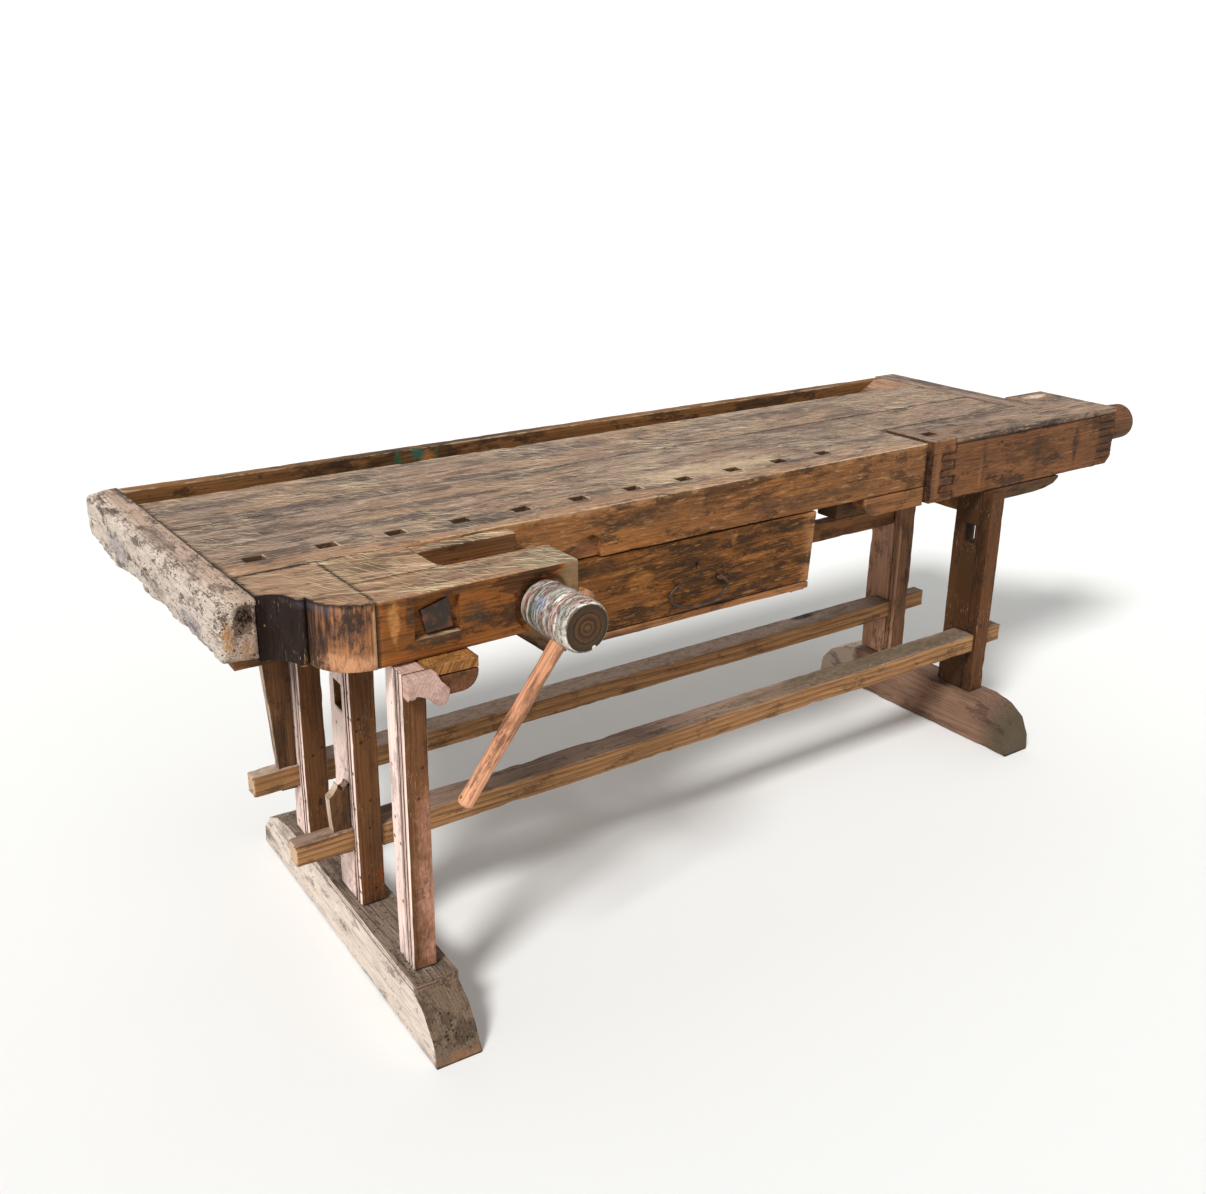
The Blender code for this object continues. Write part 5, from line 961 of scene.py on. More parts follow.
                 ((1.549, 0.300, 0.268), (0.040, 0.014, 0.02), (62, 55, 50), 1.3, 0.25))),
    "foot": woodLook("weathered foot wood", "Y", light=(182, 164, 148), dark=(132, 114, 100), stain=(80, 66, 57),
        edge=(226, 214, 200), face=(234, 218, 204), faceShare=0.8, pits=(100.0, 0.5), dents=1.2,
        bump=0.9, stains=(8.0, 0.53, 0.62, 0.6), fibre=0.6,
        zones=((1, -0.346, -0.353, (104, 80, 58), 0.85),),
        # the dark band on the toe's ledge face is painted shadow
        patches=(((0.20, -0.279, 0.106), (0.08, 0.007, 0.02), (88, 66, 50), 1.2, 0.3),
                 ((0.15, 0.0, 0.101), (0.05, 0.9, 0.0026), (120, 98, 84), 1.0, 0.2),
                 ((0.15, 0.0, 0.108), (0.05, 0.9, 0.0018), (140, 118, 102), 0.9, 0.2),
                 ((0.21, -0.362, 0.004), (0.09, 0.012, 0.016), (136, 98, 68), 0.8, 1.8))),
    "footTop": woodLook("weathered foot top wood", "Y", light=(148, 128, 112), dark=(108, 90, 76),
        stain=(62, 50, 42), edge=(206, 192, 176), pits=(100.0, 0.5), dents=1.2, bump=1.0,
        stains=(18.0, 0.53, 0.62, 0.7), fibre=0.6, relief=0.003,
        zones=((1, -0.255, -0.285, (112, 92, 72), 0.8),),
        patches=(((0.21, -0.362, 0.004), (0.09, 0.012, 0.016), (142, 104, 72), 0.8, 1.8),)),
    "rightFoot": woodLook("right foot wood", "Y", light=(138, 106, 86), dark=(98, 72, 58), stain=(54, 40, 32),
        edge=(190, 164, 144), dents=0.9,
        # the second zone, a pale band on the foot behind the rear leg, is painted light
        zones=((1, -0.06, -0.15, (72, 66, 50), 0.8), (1, 0.335, 0.355, (216, 194, 172), 0.85))),
    "iron": ironLook("old iron"),
}
print("materials made:", len(looks))

topOf, edgeUnder, slabUnder, shoulderUnder = 0.770, 0.670, 0.700, 0.660   # heights that pieces share
gap = 0.0003   # between two pieces that touch

# The top: a thick front plank, a rear plank, two end caps, and the tray behind
frontPlank = dict(length=1.603, edgeThick=0.115, back=0.2897, holes=11, firstHole=0.064, holeSpacing=0.128,
                  holeLine=0.070, holeSize=(0.034, 0.023), wornRim=0.0016,
                  worn=[0.0045, 0.004, 0.003, 0.001, 0.001, 0.0015], chips=0.006, scoop=(0.612, 0.710),
                  scoopDepth=0.014, scoopRise=0.024, behindVise=(0.151, 1.600))
topPlan = dict(planksTo=2.0747, rearPlank=(0.290, 0.4797), back=0.615, tray=(0.450, 0.685, 0.6997),
               trayRail=(0.585, 0.767))


def dogHole(x, y, low):
    long, wide = frontPlank["holeSize"]
    return boxCutter((x - long / 2, x + long / 2), (y - wide / 2, y + wide / 2), (low, topOf + 0.0015),
                     flare=frontPlank["wornRim"])


def holeRim(x, y):
    # the hole as paintEdges reads it, so that its far edge is rubbed pale
    long, wide = frontPlank["holeSize"]
    return (2, (x - long / 2, y - wide / 2), (x + long / 2, y + wide / 2))


def bar(name, node, look, outline, axis, span, body="root", frameOf=home, cutters=(), holes=(), topLook=None,
        topFrom=0.6, dirt=0.0032, joints=(), **shape):
    # one carved bar, cut, edge-painted and put in place of its node
    mesh, guide = carvedBar(name, outline, axis, span, **shape)
    for group in cutters:
        mesh = carve(mesh, group)
    paintEdges(mesh, guide, holes=holes, dirt=dirt, joints=joints)
    return finished(name, mesh, looks[look], node, body, frameOf, looks[topLook] if topLook else None, topFrom)


def makeFrontPlank():
    # the plank carries the thick front edge, with a scoop in its underside above the drawer
    p = frontPlank
    thick, back = p["edgeThick"], p["back"]
    section = [(0.0, topOf), (0.0, edgeUnder), (thick, edgeUnder), (thick, slabUnder), (back, slabUnder),
               (back, topOf)]
    places = [p["firstHole"] + i * p["holeSpacing"] for i in range(p["holes"])]
    holes = [dogHole(x, p["holeLine"], edgeUnder - 0.02) for x in places]
    x0, x1 = p["scoop"]
    rise = p["scoopRise"]
    scoop = [(x0, edgeUnder - 0.02), (x0 + 0.02, edgeUnder + 0.018)]
    scoop += arcPoints(x1 - rise, edgeUnder + rise, rise, 120, 0, 6) + [(x1, edgeUnder - 0.02)]
    bar("front_plank_worn", "front_plank", "apron", section, "X", (0.0, p["length"]), worn=p["worn"],
        ends=(0.001, 0.003), chips=p["chips"], ripple=0.0003, swell=0.0006,
        cutters=(holes + [outlineCutter(scoop, "Y", (-0.02, p["scoopDepth"]))],),
        holes=[holeRim(x, p["holeLine"]) for x in places], joints=[((0.0, 0.0, topOf), (0.299, 0.0, topOf))],
        topLook="top")
    front, start = p["behindVise"]
    mesh, guide = carvedBar("behind_vise", rect((front, back), (slabUnder, topOf)), "X",
                            (start, topPlan["planksTo"]), worn=0.0015, ends=(0, 0.001))
    paintEdges(mesh, guide)
    finished("plank_behind_vise", mesh, looks["top"], "front_plank")


leftCap = dict(x=(-0.067, -0.0003), y=(-0.108, 0.615), worn=[0.016, 0.003, 0.0012, 0.018], rot=0.0036,
               rotSize=0.05, fineRot=0.0018, fineSize=0.013, rotFrom=-0.016, rotReach=0.035, chips=0.012)


def rotted(points):
    # the outer side is eaten away by coarse and fine noise, less towards the joint with the planks
    p = leftCap
    share = np.clip((p["rotFrom"] - points[:, 0]) / p["rotReach"], 0.0, 1.0)
    lost = p["rot"] * (1 + softNoise(points, p["rotSize"], 2.0))
    lost += p["fineRot"] * (1 + softNoise(points, p["fineSize"], 5.0))
    upright = np.clip((points[:, 2] - 0.5 * (edgeUnder + topOf)) / 0.05, -1.0, 1.0)
    points[:, 0] += share * share * lost
    points[:, 2] -= share * upright * 0.6 * lost
    return points


def makeCapsAndTray():
    p, q = leftCap, topPlan
    hollow = [(-0.039, 0.716), (-0.0375, 0.742), (-0.031, 0.760), (-0.018, 0.7635), (-0.007, 0.760),
              (-0.0055, 0.735), (-0.007, 0.7145), (-0.024, 0.7125)]   # rotted out of the cap's front end
    cuts = [outlineCutter(hollow, "Y", (-0.14, -0.094)), boxCutter((-0.09, -0.058), (0.475, 0.483), (0.728, 0.750))]
    bar("left_cap_worn", "left_end_cap", "cap", rect(p["x"], (edgeUnder, topOf)), "Y", p["y"], worn=p["worn"],
        ends=(0.009, 0.006), swell=0.0006, ripple=0.0004, chips=p["chips"], spacing=0.006, bend=rotted,
        cutters=(cuts,))
    bar("right_cap_worn", "right_end_cap", "rightCap", rect((2.075, 2.150), (slabUnder, topOf)), "Y",
        (0.151, q["back"]), worn=[0.001, 0.004, 0.005, 0.0015], chips=0.005, dirt=0.001)
    long = (gap, q["planksTo"])
    front, low, high = q["tray"]
    bar("tray_board_worn", "tray_board", "tray", rect((front, q["back"]), (low, high)), "X", long, worn=0.001)
    front, high = q["trayRail"]
    bar("tray_rail_worn", "tray_back_rail", "backRail", rect((front, q["back"]), (slabUnder, high)), "X", long,
        worn=0.004, chips=0.006, swell=0.001)
    ramp = [(1.940, 0.700), (2.0747, 0.700), (2.0747, 0.769), (2.040, 0.769), (1.940, 0.715)]
    bar("tray_ramp_worn", "tray_ramp", "ramp", ramp, "Y", (0.480, 0.5847), worn=0.002)


makeFrontPlank()
bar("rear_plank_worn", "rear_plank", "top", rect(topPlan["rearPlank"], (slabUnder, topOf)), "X",
    (0.0, topPlan["planksTo"]), worn=[0.001, 0.001, 0.002, 0.0015], ends=(0.001, 0.001))
makeCapsAndTray()
print("top made")

# Under the front edge by the tail vise: a cleat with a rounded end, and a dark block behind it
cleat = [(1.603, 0.625), (1.603, 0.6697), (1.414, 0.6697)] + arcPoints(1.454, 0.665, 0.040, 180, 270, 6)
bar("cleat_worn", "strip_cleat", "orange", cleat, "Y", (0.001, 0.045), worn=0.002, spacing=0.008)
bar("strip_block_worn", "strip_block", "darkWood", rect((0.055, 0.115), (0.613, 0.6697)), "X", (1.385, 1.603),
    worn=0.002)

# The shoulder vise: shaped block, spacer, arm, bolt, chop, screw, handle and its pegs. The plate is the sunk place
# of the bolt's head, in X and Z; the recess round the screw is (radius, depth).
shoulder = dict(reach=0.222, thick=0.092, blockTo=0.141, spacerTo=0.299, fillet=0.020, armTo=0.508,
                coveRadius=0.045, bead=0.016, plate=((0.204, 0.284), (0.693, 0.755)), plateDepth=0.014,
                recess=(0.052, 0.010), bore=0.0338, screwX=0.438, screwZ=0.705)
bolt = dict(head=[(0.218, 0.738), (0.226, 0.6975), (0.276, 0.699), (0.268, 0.7525)], headY=(-0.2143, -0.2083),
            shank=(0.244, -0.209, 0.724), shankRadius=0.007, shankLength=0.24)
chop = dict(x=(0.304, 0.502), y=(-0.035, -0.001), z=(0.672, 0.766))
shoulderScrew = dict(headLength=0.133, headRadius=0.045, collarY=-0.216, groove=(0.012, 0.169))
handle = dict(lean=37.0, low=-0.054, high=0.340, radius=0.0135, crossingY=-0.305, pegRadius=0.003, pegReach=0.018,
              pegFromEnd=0.012, clearance=0.001)
thread = dict(neck=0.028, outer=0.033, rowStep=0.0021, pitch=0.0127, depth=0.005, barBore=0.0147)
alongY = (0.0, 1.0, 0.0)


def makeShoulderWood():
    # the block is moulded with a cove, a bead and a quarter round; the arm is sunk for the bolt and the screw
    p = shoulder
    front, back = -p["reach"], p["thick"] - p["reach"]
    tall = (shoulderUnder, topOf)
    cove, bead, side = p["coveRadius"], p["bead"] / 2, p["blockTo"] - gap
    quarter = p["blockTo"] - cove - p["bead"] - 2 * gap
    beadY = front + quarter
    outline = [(gap, -gap), (gap, beadY + cove)]
    outline += arcPoints(gap, beadY, cove, 90, 0, 10)[1:]
    outline += arcPoints(gap + cove + bead, beadY, bead, 200, 340, 6)
    outline += arcPoints(side, beadY, quarter, 180, 270, 14) + [(side, -gap)]
    joint = ((0.0, 0.0, topOf), (p["spacerTo"], 0.0, topOf))
    plain = dict(spacing=0.010, ends=(0.002, 0.0006), swell=0.0004, joints=[joint])
    bar("ogee_block_worn", "shoulder_block", "blockWood", outline, "Z", tall, worn=0.0015, topLook="spacer",
        **plain)
    corner = p["spacerTo"] + p["fillet"]
    spacer = [(p["blockTo"], -gap), (p["blockTo"], back + gap), (corner, back + gap)]
    spacer += arcPoints(corner, back + gap + p["fillet"], p["fillet"], 270, 180, 5)[1:] + [(p["spacerTo"], -gap)]
    bar("spacer_worn", "shoulder_spacer", "spacer", spacer, "Z", tall, worn=0.0, **plain)
    mouth = (p["screwX"], 0.0, p["screwZ"])
    radius, depth = p["recess"]
    recess = rodCutter(alongY, mouth, radius, high=front + depth)
    x, z = p["plate"]
    plate = boxCutter(x, (front - 0.03, front + p["plateDepth"]), z)
    bar("arm_worn", "shoulder_arm", "arm", rect((front, back), tall), "X", (p["blockTo"], p["armTo"]),
        worn=[0.004, 0.002, 0.0, 0.005], chips=0.007, ends=(0.0, 0.004), swell=0.0004,
        cutters=([recess, plate], [rodCutter(alongY, mouth, p["bore"])]), topLook="spacer",
        holes=[(1, (x[0], z[0]), (x[1], z[1]))])


def makeBolt():
    p = bolt
    head, guide = carvedBar("bolt_worn", p["head"], "Y", p["headY"], worn=0.003, spacing=0.006,
                            ends=(0.001, 0.0005))
    shank = turnedBody("shank", [(0.0, p["shankRadius"]), (p["shankLength"], p["shankRadius"])], 20)
    mesh = joined("bolt_worn", [head, aimed(shank, alongY, p["shank"])])
    paintEdges(mesh, guide)
    finished("bolt_worn", mesh, looks["iron"], "shoulder_bolt")


def threadRows(neckTo, start, end):
    # the neck behind the head, then rows close enough together for the groove to show
    rows = [(0.0005, thread["neck"]), (neckTo, thread["neck"])]
    return rows + [(s, thread["outer"]) for s in np.arange(start, end, thread["rowStep"])]


def threadGroove(start, end):
    return (start, end, thread["pitch"], thread["depth"])


def handleLine():
    # the way down along the handle, the way across it, and where it crosses the screw's axis
    lean = math.radians(handle["lean"])
    return ((-math.sin(lean), 0.0, -math.cos(lean)), (-math.cos(lean), 0.0, math.sin(lean)),
            Vector((shoulder["screwX"], handle["crossingY"], shoulder["screwZ"])))


def makeShoulderScrew():
    p = shoulderScrew
    length, radius = p["headLength"], p["headRadius"]
    rows = [(0.0015, 0.003), (0.0, 0.008), (0.0, 0.012), (0.0012, 0.0145), (0.0, 0.017), (0.0, 0.0245),
            (0.0014, 0.0265), (0.0002, 0.0285), (0.0, radius - 0.007), (0.003, radius - 0.003),
            (0.008, radius - 0.001), (0.022, radius), (0.026, radius - 0.0022), (0.030, radius - 0.0004),
            (0.048, radius + 0.0005), (0.066, radius), (0.095, radius - 0.002), (0.099, radius - 0.0045),
            (0.104, radius - 0.005), (0.108, radius - 0.0025), (0.118, radius - 0.002), (0.121, radius - 0.0045),
            (0.124, radius - 0.003), (0.130, radius - 0.004), (length, radius - 0.008)]
    rows = [(at - length, across) for at, across in rows] + threadRows(0.012, 0.0125, 0.168)
    rows += [(0.170, 0.028), (0.1807, 0.025), (0.181, 0.015), (0.2007, 0.015)]
    screw = turnedBody("shoulder_screw_worn", rows, 64, uneven=0.0006, groove=threadGroove(*p["groove"]))
    screw = aimed(screw, alongY, (shoulder["screwX"], p["collarY"], shoulder["screwZ"]))
    along, _, crossing = handleLine()
    screw = carve(screw, [rodCutter(along, crossing, thread["barBore"])])
    paintEdges(screw)
    finished("shoulder_screw_worn", screw, looks["paint"], "shoulder_screw", "shoulder_screw")


def makeHandle():
    # a stick that waves a little, with a peg near each end
    p = handle
    r, low, high, pegRadius = p["radius"], p["low"], p["high"], p["pegRadius"]
    along, across, crossing = handleLine()
    stick = [(low, r * 0.5), (low + 0.002, r * 0.8), (low + 0.006, r)]
    stick += [(s, r + 0.0004 * math.sin(s * 40)) for s in np.linspace(low + 0.015, high - 0.015, 24)]
    stick += [(high - 0.006, r), (high - 0.002, r * 0.8), (high, r * 0.5)]
    mesh = aimed(turnedBody("handle_worn", stick, 32, uneven=0.0004), along, crossing)
    paintEdges(mesh)
    finished("handle_worn", mesh, looks["handle"], "shoulder_handle", "shoulder_handle")
    half = [(0.012, pegRadius), (0.0172, 0.0028), (p["pegReach"], 0.0018)]
    peg = [(-at, size) for at, size in reversed(half)] + half
    upper = -(shoulderScrew["headRadius"] + p["clearance"] + pegRadius + gap)
    for name, node, where in (("peg_upper_worn", "handle_peg_upper", upper),
                              ("peg_lower_worn", "handle_peg_lower", high - p["pegFromEnd"])):
        mesh = aimed(turnedBody(name, peg, 16), across, crossing + Vector(along) * where)
        paintEdges(mesh)
        finished(name, mesh, looks["pale"], node, "shoulder_handle")


makeShoulderWood()
makeBolt()
bar("chop_worn", "shoulder_chop", "chop", rect(chop["y"], chop["z"]), "X", chop["x"], body="shoulder_chop",
    worn=0.003, chips=0.007, topLook="spacer")
makeShoulderScrew()
makeHandle()
print("shoulder vise made")

# The tail vise: jaw, finger-jointed front board, top board, end block, guide rail, pin and screw. The front board's
# body lies between the jaw and the end block, and its fingers reach into both.
tail = dict(under=0.625, boardTop=0.7547, back=0.148, endBack=0.235, jaw=(1.622, 1.700), endBlock=(2.153, 2.303),
            bevel=0.018, boardThick=0.030, fingers=(1.655, 2.303), body=(1.7003, 2.2397), dogHole=(1.674, 0.065),
            pin=(2.267, 0.200), railX=(1.700, 2.283), railY=(0.175, 0.225), railZ=(0.640, 0.690))
tailScrew = dict(y=0.075, z=0.705, headLength=0.133, barHole=0.62, groove=(0.065, 0.411))
tailCarriage = "tail_carriage"


def fingerSlots():
    # of seven equal heights, the second, fourth and sixth
    height = (tail["boardTop"] - tail["under"]) / 7
    return [(tail["under"] + k * height, tail["under"] + (k + 1) * height) for k in (1, 3, 5)]


def makeTailEnds():
    # the jaw and the end block, cut for the front board and its fingers
    p = tail
    under, top = p["under"], p["boardTop"]
    slots = fingerSlots()
    deep = (-0.02, p["boardThick"] + gap)
    notches = [boxCutter((p["fingers"][0] - gap, p["jaw"][1] + 0.03), deep, slot) for slot in slots]
    bar("tail_jaw_worn", "tail_jaw", "tailFront", rect(p["jaw"], (0.0, p["back"])), "Z", (under, topOf),
        body=tailCarriage, worn=[0.004, 0.001, 0.001, 0.003], ends=(0.002, 0.003), spacing=0.008,
        cutters=(notches + [dogHole(*p["dogHole"], under - 0.02)],), topLook="tailTop",
        holes=[holeRim(*p["dogHole"])])
    x0, x1 = p["endBlock"]
    outline = [(x0, under), (x1 - p["bevel"], under), (x1, under + p["bevel"]), (x1, top), (x0, top)]
    seat = boxCutter((2.13, 2.240), deep, (0.6, 0.8))
    ends = [boxCutter((2.2402, 2.33), deep, slot) for slot in slots]
    bar("tail_end_worn", "tail_end_block", "tailFront", outline, "Y", (0.0, p["endBack"]), body=tailCarriage,
        worn=[0.001, 0.002, 0.002, 0.002, 0.001], spacing=0.010, cutters=([seat], ends))


def makeTailBoards():
    p = tail
    under, top, slots = p["under"], p["boardTop"], fingerSlots()
    left, right = p["body"]
    leftTip, rightTip = p["fingers"]
    board = [(left, under), (right, under)]
    for low, high in slots:
        board += [(right, low + gap), (rightTip, low + gap), (rightTip, high - gap), (right, high - gap)]
    board += [(right, top), (left, top)]
    for low, high in reversed(slots):
        board += [(left, high - gap), (leftTip, high - gap), (leftTip, low + gap), (left, low + gap)]
    bar("tail_front_worn", "tail_front_board", "tailFront", board, "Y", (0.0, p["boardThick"]), body=tailCarriage,
        worn=0.0008, chips=0.002, spacing=0.010, ends=(0.0015, 0.001))
    x0, x1 = p["endBlock"]
    cover = [(left, 0.0), (x1, 0.0), (x1, p["endBack"]), (x0, p["endBack"]), (x0, p["back"]), (left, p["back"])]
    bar("tail_top_worn", "tail_top_board", "tailTop", cover, "Z", (0.755, topOf), body=tailCarriage, worn=0.003,
        chips=0.006, spacing=0.010, ends=(0.001, 0.003))
    bar("guide_rail_worn", "tail_guide_rail", "tray", rect(p["railY"], p["railZ"]), "X", p["railX"],
        body=tailCarriage, worn=0.002)
    pin = aimed(turnedBody("tail_pin_worn", [(0.650, 0.010), (0.763, 0.010), (0.765, 0.0085)], 24), (0, 0, 1),
                (*p["pin"], 0.0))
    paintEdges(pin)
    finished("tail_pin_worn", pin, looks["red"], "tail_end_pin", tailCarriage)


def makeTailScrew():
    p = tailScrew
    rows = [(-p["headLength"], 0.036), (-0.130, 0.041), (-0.126, 0.044), (-0.100, 0.045), (-0.066, 0.046),
            (-0.030, 0.045), (-0.024, 0.041), (-0.018, 0.044), (-0.006, 0.043), (0.0, 0.039)]
    rows += threadRows(0.064, 0.066, 0.410) + [(0.412, 0.028), (0.4233, 0.025)]
    screw = turnedBody("tail_screw_worn", rows, 64, uneven=0.0005, groove=threadGroove(*p["groove"]))
    collar = tail["endBlock"][1] + gap
    screw = aimed(screw, (-1, 0, 0), (collar, p["y"], p["z"]))
    crossing = (collar + p["headLength"] * p["barHole"], p["y"], p["z"])
    screw = carve(screw, [rodCutter((0, 0, 1), crossing, thread["barBore"])])
    paintEdges(screw)
    finished("tail_screw_worn", screw, looks["red"], "tail_screw", "tail_screw")


makeTailEnds()
makeTailBoards()
makeTailScrew()
print("tail vise made")

# Trestles: each foot is a bar along Y whose height follows the toe's and heel's profile, as (share of its length,
# share of the foot's height). Legs are (front, rear) and their tops; all X are from the trestle's outer side.
legIn, legOut = 0.018, 0.066
trestles = dict(footHeight=0.116, footWidth=0.086, heel=0.150, beadDepth=0.003, beadWidth=0.004,
                beadFrom=(0.021, 0.010),
                heelShape=[(0.0, 0.0), (0.03, 0.345), (0.23, 0.655), (0.57, 0.88), (1.0, 1.0)])
leftSide = dict(foot=(-0.058, 0.765), toe=0.079,
                toeShape=[(0.0, 0.0), (0.05, 0.17), (0.22, 0.42), (0.56, 0.70), (0.99, 0.85), (1.0, 1.0)],
                post=((0.018, 0.061), (0.051, 0.115)), postTop=0.657, frontLeg=(0.272, 0.370), frontTop=0.6394,
                rearLeg=(0.531, 0.605), rearTop=0.6327, holeY=(0.312, 0.348), scrollSize=(0.074, 0.058))
rightSide = dict(at=1.795, foot=(-0.168, 0.465), toe=0.105,
                 toeShape=[(0.0, 0.0), (0.03, 0.34), (0.21, 0.69), (0.55, 0.91), (1.0, 1.0)],
                 frontLeg=(-0.030, 0.075), frontTop=0.6244, rearLeg=(0.235, 0.340), rearTop=0.6327,
                 holeY=(0.012, 0.048), shoeFrom=0.5934, shoeThick=0.031)
rightTrestle = home @ Matrix.Translation((rightSide["at"], 0.0, 0.0))


def makeFoot(name, node, look, side, frameOf, topLook=None):
    p = trestles
    front, back = side["foot"]
    toeShape, heelShape = side["toeShape"], p["heelShape"]
    ys = [front + u * side["toe"] for u, _ in toeShape] + [back - u * p["heel"] for u, _ in reversed(heelShape)]
    shares = [v for _, v in toeShape] + [v for _, v in reversed(heelShape)]

    def bend(points):
        # height is the profile's share at each point's Y
        points[:, 2] *= np.maximum(np.interp(points[:, 1], ys, shares), 0.03)
        return points

    bar(name, node, look, rect((0.0, p["footWidth"]), (0.0, p["footHeight"])), "Y", (front, back), frameOf=frameOf,
        worn=[0.003, 0.003, 0.005, 0.006], ends=(0.001, 0.001), chips=0.008, swell=0.0015, ripple=0.0007,
        spacing=0.009, bend=bend, stations=np.array(ys), topLook=topLook, topFrom=0.35)


def legOutline(x, y):
    # a rectangle with two bead grooves down its outer face
    p = trestles
    deep = x[0] + p["beadDepth"]
    outline = [(x[0], y[0]), (x[1], y[0]), (x[1], y[1]), (x[0], y[1])]
    for start in [y[0] + inset for inset in p["beadFrom"]]:
        outline += [(x[0], start + p["beadWidth"]), (deep, start + p["beadWidth"]), (deep, start), (x[0], start)]
    return outline


# Where each stretcher's front side is, how far its tenon comes out at the left and right, and their section; then
# the wedges in the left tenons, and how far each one rises above its stretcher
stretcherLines = {"front": -0.025, "rear": 0.250}
tenonOut = {"front": (0.107, 0.069), "rear": (0.090, 0.094)}
stretcherShape = dict(low=0.222, high=0.268, width=0.062, tenonInset=0.014, rightEnd=1.8127)
wedges = dict(rise={"rear": 0.255, "front": 0.090}, low=0.216, footThick=0.034, taper=0.070, halfThick=0.010)


def leftFace(y):
    # where the turned trestle's outer leg faces cross a line Y = y
    p = benchFrame
    return p["trestleX"] + legIn + (y - p["trestleY"]) * math.tan(math.radians(p["trestleTurn"]))


def tenonCutter(which, frameOf):
    p = stretcherShape
    y = stretcherLines[which]
    cutter = boxCutter((-0.2, 2.4), (y + p["tenonInset"] - 0.001, y + p["width"] - p["tenonInset"] + 0.001),
                       (p["low"], p["high"]))
    cutter.transform(frameOf.inverted() @ home)
    return cutter


def makeLeg(name, node, look, x, y, high, frameOf, cutters=(), topLook=None):
    worn = [0.003, 0.003, 0.003, 0.003] + [0.0008] * 8
    bar(name, node, look, legOutline(x, y), "Z", (trestles["footHeight"] + gap, high), frameOf=frameOf, worn=worn,
        spacing=0.010, chips=0.005, ends=(0.002, 0.001), swell=0.001, cutters=[cutters] if cutters else (),
        dirt=0.0009, topLook=topLook)


def makeLegs(side, sideName, frontLook, rearLook, frameOf):
    # the front leg has a square hole through it below the top
    x = (legIn, legOut)
    hole = boxCutter((-0.05, 0.15), side["holeY"], (0.488, 0.538))
    makeLeg(sideName + "_front_leg_worn", sideName + "_front_leg", frontLook, x, side["frontLeg"], side["frontTop"],
            frameOf, [tenonCutter("front", frameOf), hole])
    makeLeg(sideName + "_rear_leg_worn", sideName + "_rear_leg", rearLook, x, side["rearLeg"], side["rearTop"],
            frameOf, [tenonCutter("rear", frameOf)])


def makeLeftTrestle():
    p, at = leftSide, dict(frameOf=leftTrestle)
    makeLeg("post_worn", "left_vise_post", "leg", *p["post"], p["postTop"], leftTrestle, topLook="pink")
    scroll = [(0.01, 1.0), (0.01, 0.31), (0.19, 0.33), (0.24, 0.40), (0.31, 0.37), (0.38, 0.33), (0.44, 0.29),
              (0.50, 0.24), (0.56, 0.16), (0.61, 0.09), (0.67, 0.03), (0.74, 0.0), (0.81, -0.005), (0.88, 0.02),
              (0.95, 0.12), (0.99, 0.26), (1.0, 0.45), (0.81, 0.72), (0.70, 1.0)]
    long, tall = p["scrollSize"]
    scroll = [(legIn + u * long, p["postTop"] - (1.0 - v) * tall) for u, v in scroll]
    postFront = p["post"][1][0]
    bar("corbel_worn", "post_corbel", "pink", scroll, "Y", (postFront - 0.0203, 0.0507), worn=0.001, spacing=0.008,
        ends=(0.0015, 0.0005), dirt=0.0008, **at)
    makeLegs(p, "left", "leg", "leg", leftTrestle)
    rail = [(0.0663, 0.6034), (0.0663, 0.6394), (0.1523, 0.6394)] + arcPoints(0.1223, 0.6334, 0.030, 0, -90, 6)
    bar("left_rail_worn", "left_top_rail", "redUpright", rail, "Y", (0.051, 0.605), worn=0.002, **at)
    board = (0.6397, 0.6597)
    bar("packing_board_worn", "left_packing_board", "pale", rect((0.0613, 0.1523), board), "Y", (0.051, 0.210),
        worn=0.0015, **at)
    bar("bearer_board_worn", "left_bearer_board", "orange", rect((0.228, 0.328), board), "X", (-0.182, 0.1523),
        worn=0.002, chips=0.006, **at)
    bar("left_bearer_worn", "left_top_bearer", "orange", rect((0.008, 0.066), (0.633, 0.6997)), "Y", (0.425, 0.740),
        worn=0.002, **at)


def makeRightTrestle():
    p, at = rightSide, dict(frameOf=rightTrestle)
    makeLegs(p, "right", "rightLeg", "rightRear", rightTrestle)
    bar("right_rail_worn", "right_top_rail", "orange", rect((0.022, 0.062), (0.5594, 0.6044)), "Y",
        (0.0753, 0.2347), worn=0.0015, **at)
    bar("right_bearer_worn", "right_top_bearer", "orange", rect((0.008, 0.066), (0.633, 0.6997)), "Y",
        (0.237, 0.440), worn=0.002, **at)
    low, thick = p["shoeFrom"], p["shoeThick"]
    shoe = [(0.0663, low), (0.0663, p["frontTop"]), (0.3033, p["frontTop"]), (0.3033, low + 0.74 * thick),
            (0.2855, low + 0.32 * thick), (0.2532, low + 0.10 * thick), (0.2183, low)]
    bar("vise_shoe_worn", "tail_vise_shoe", "darkWood", shoe, "Y", (0.0, 0.070), worn=0.002, **at)


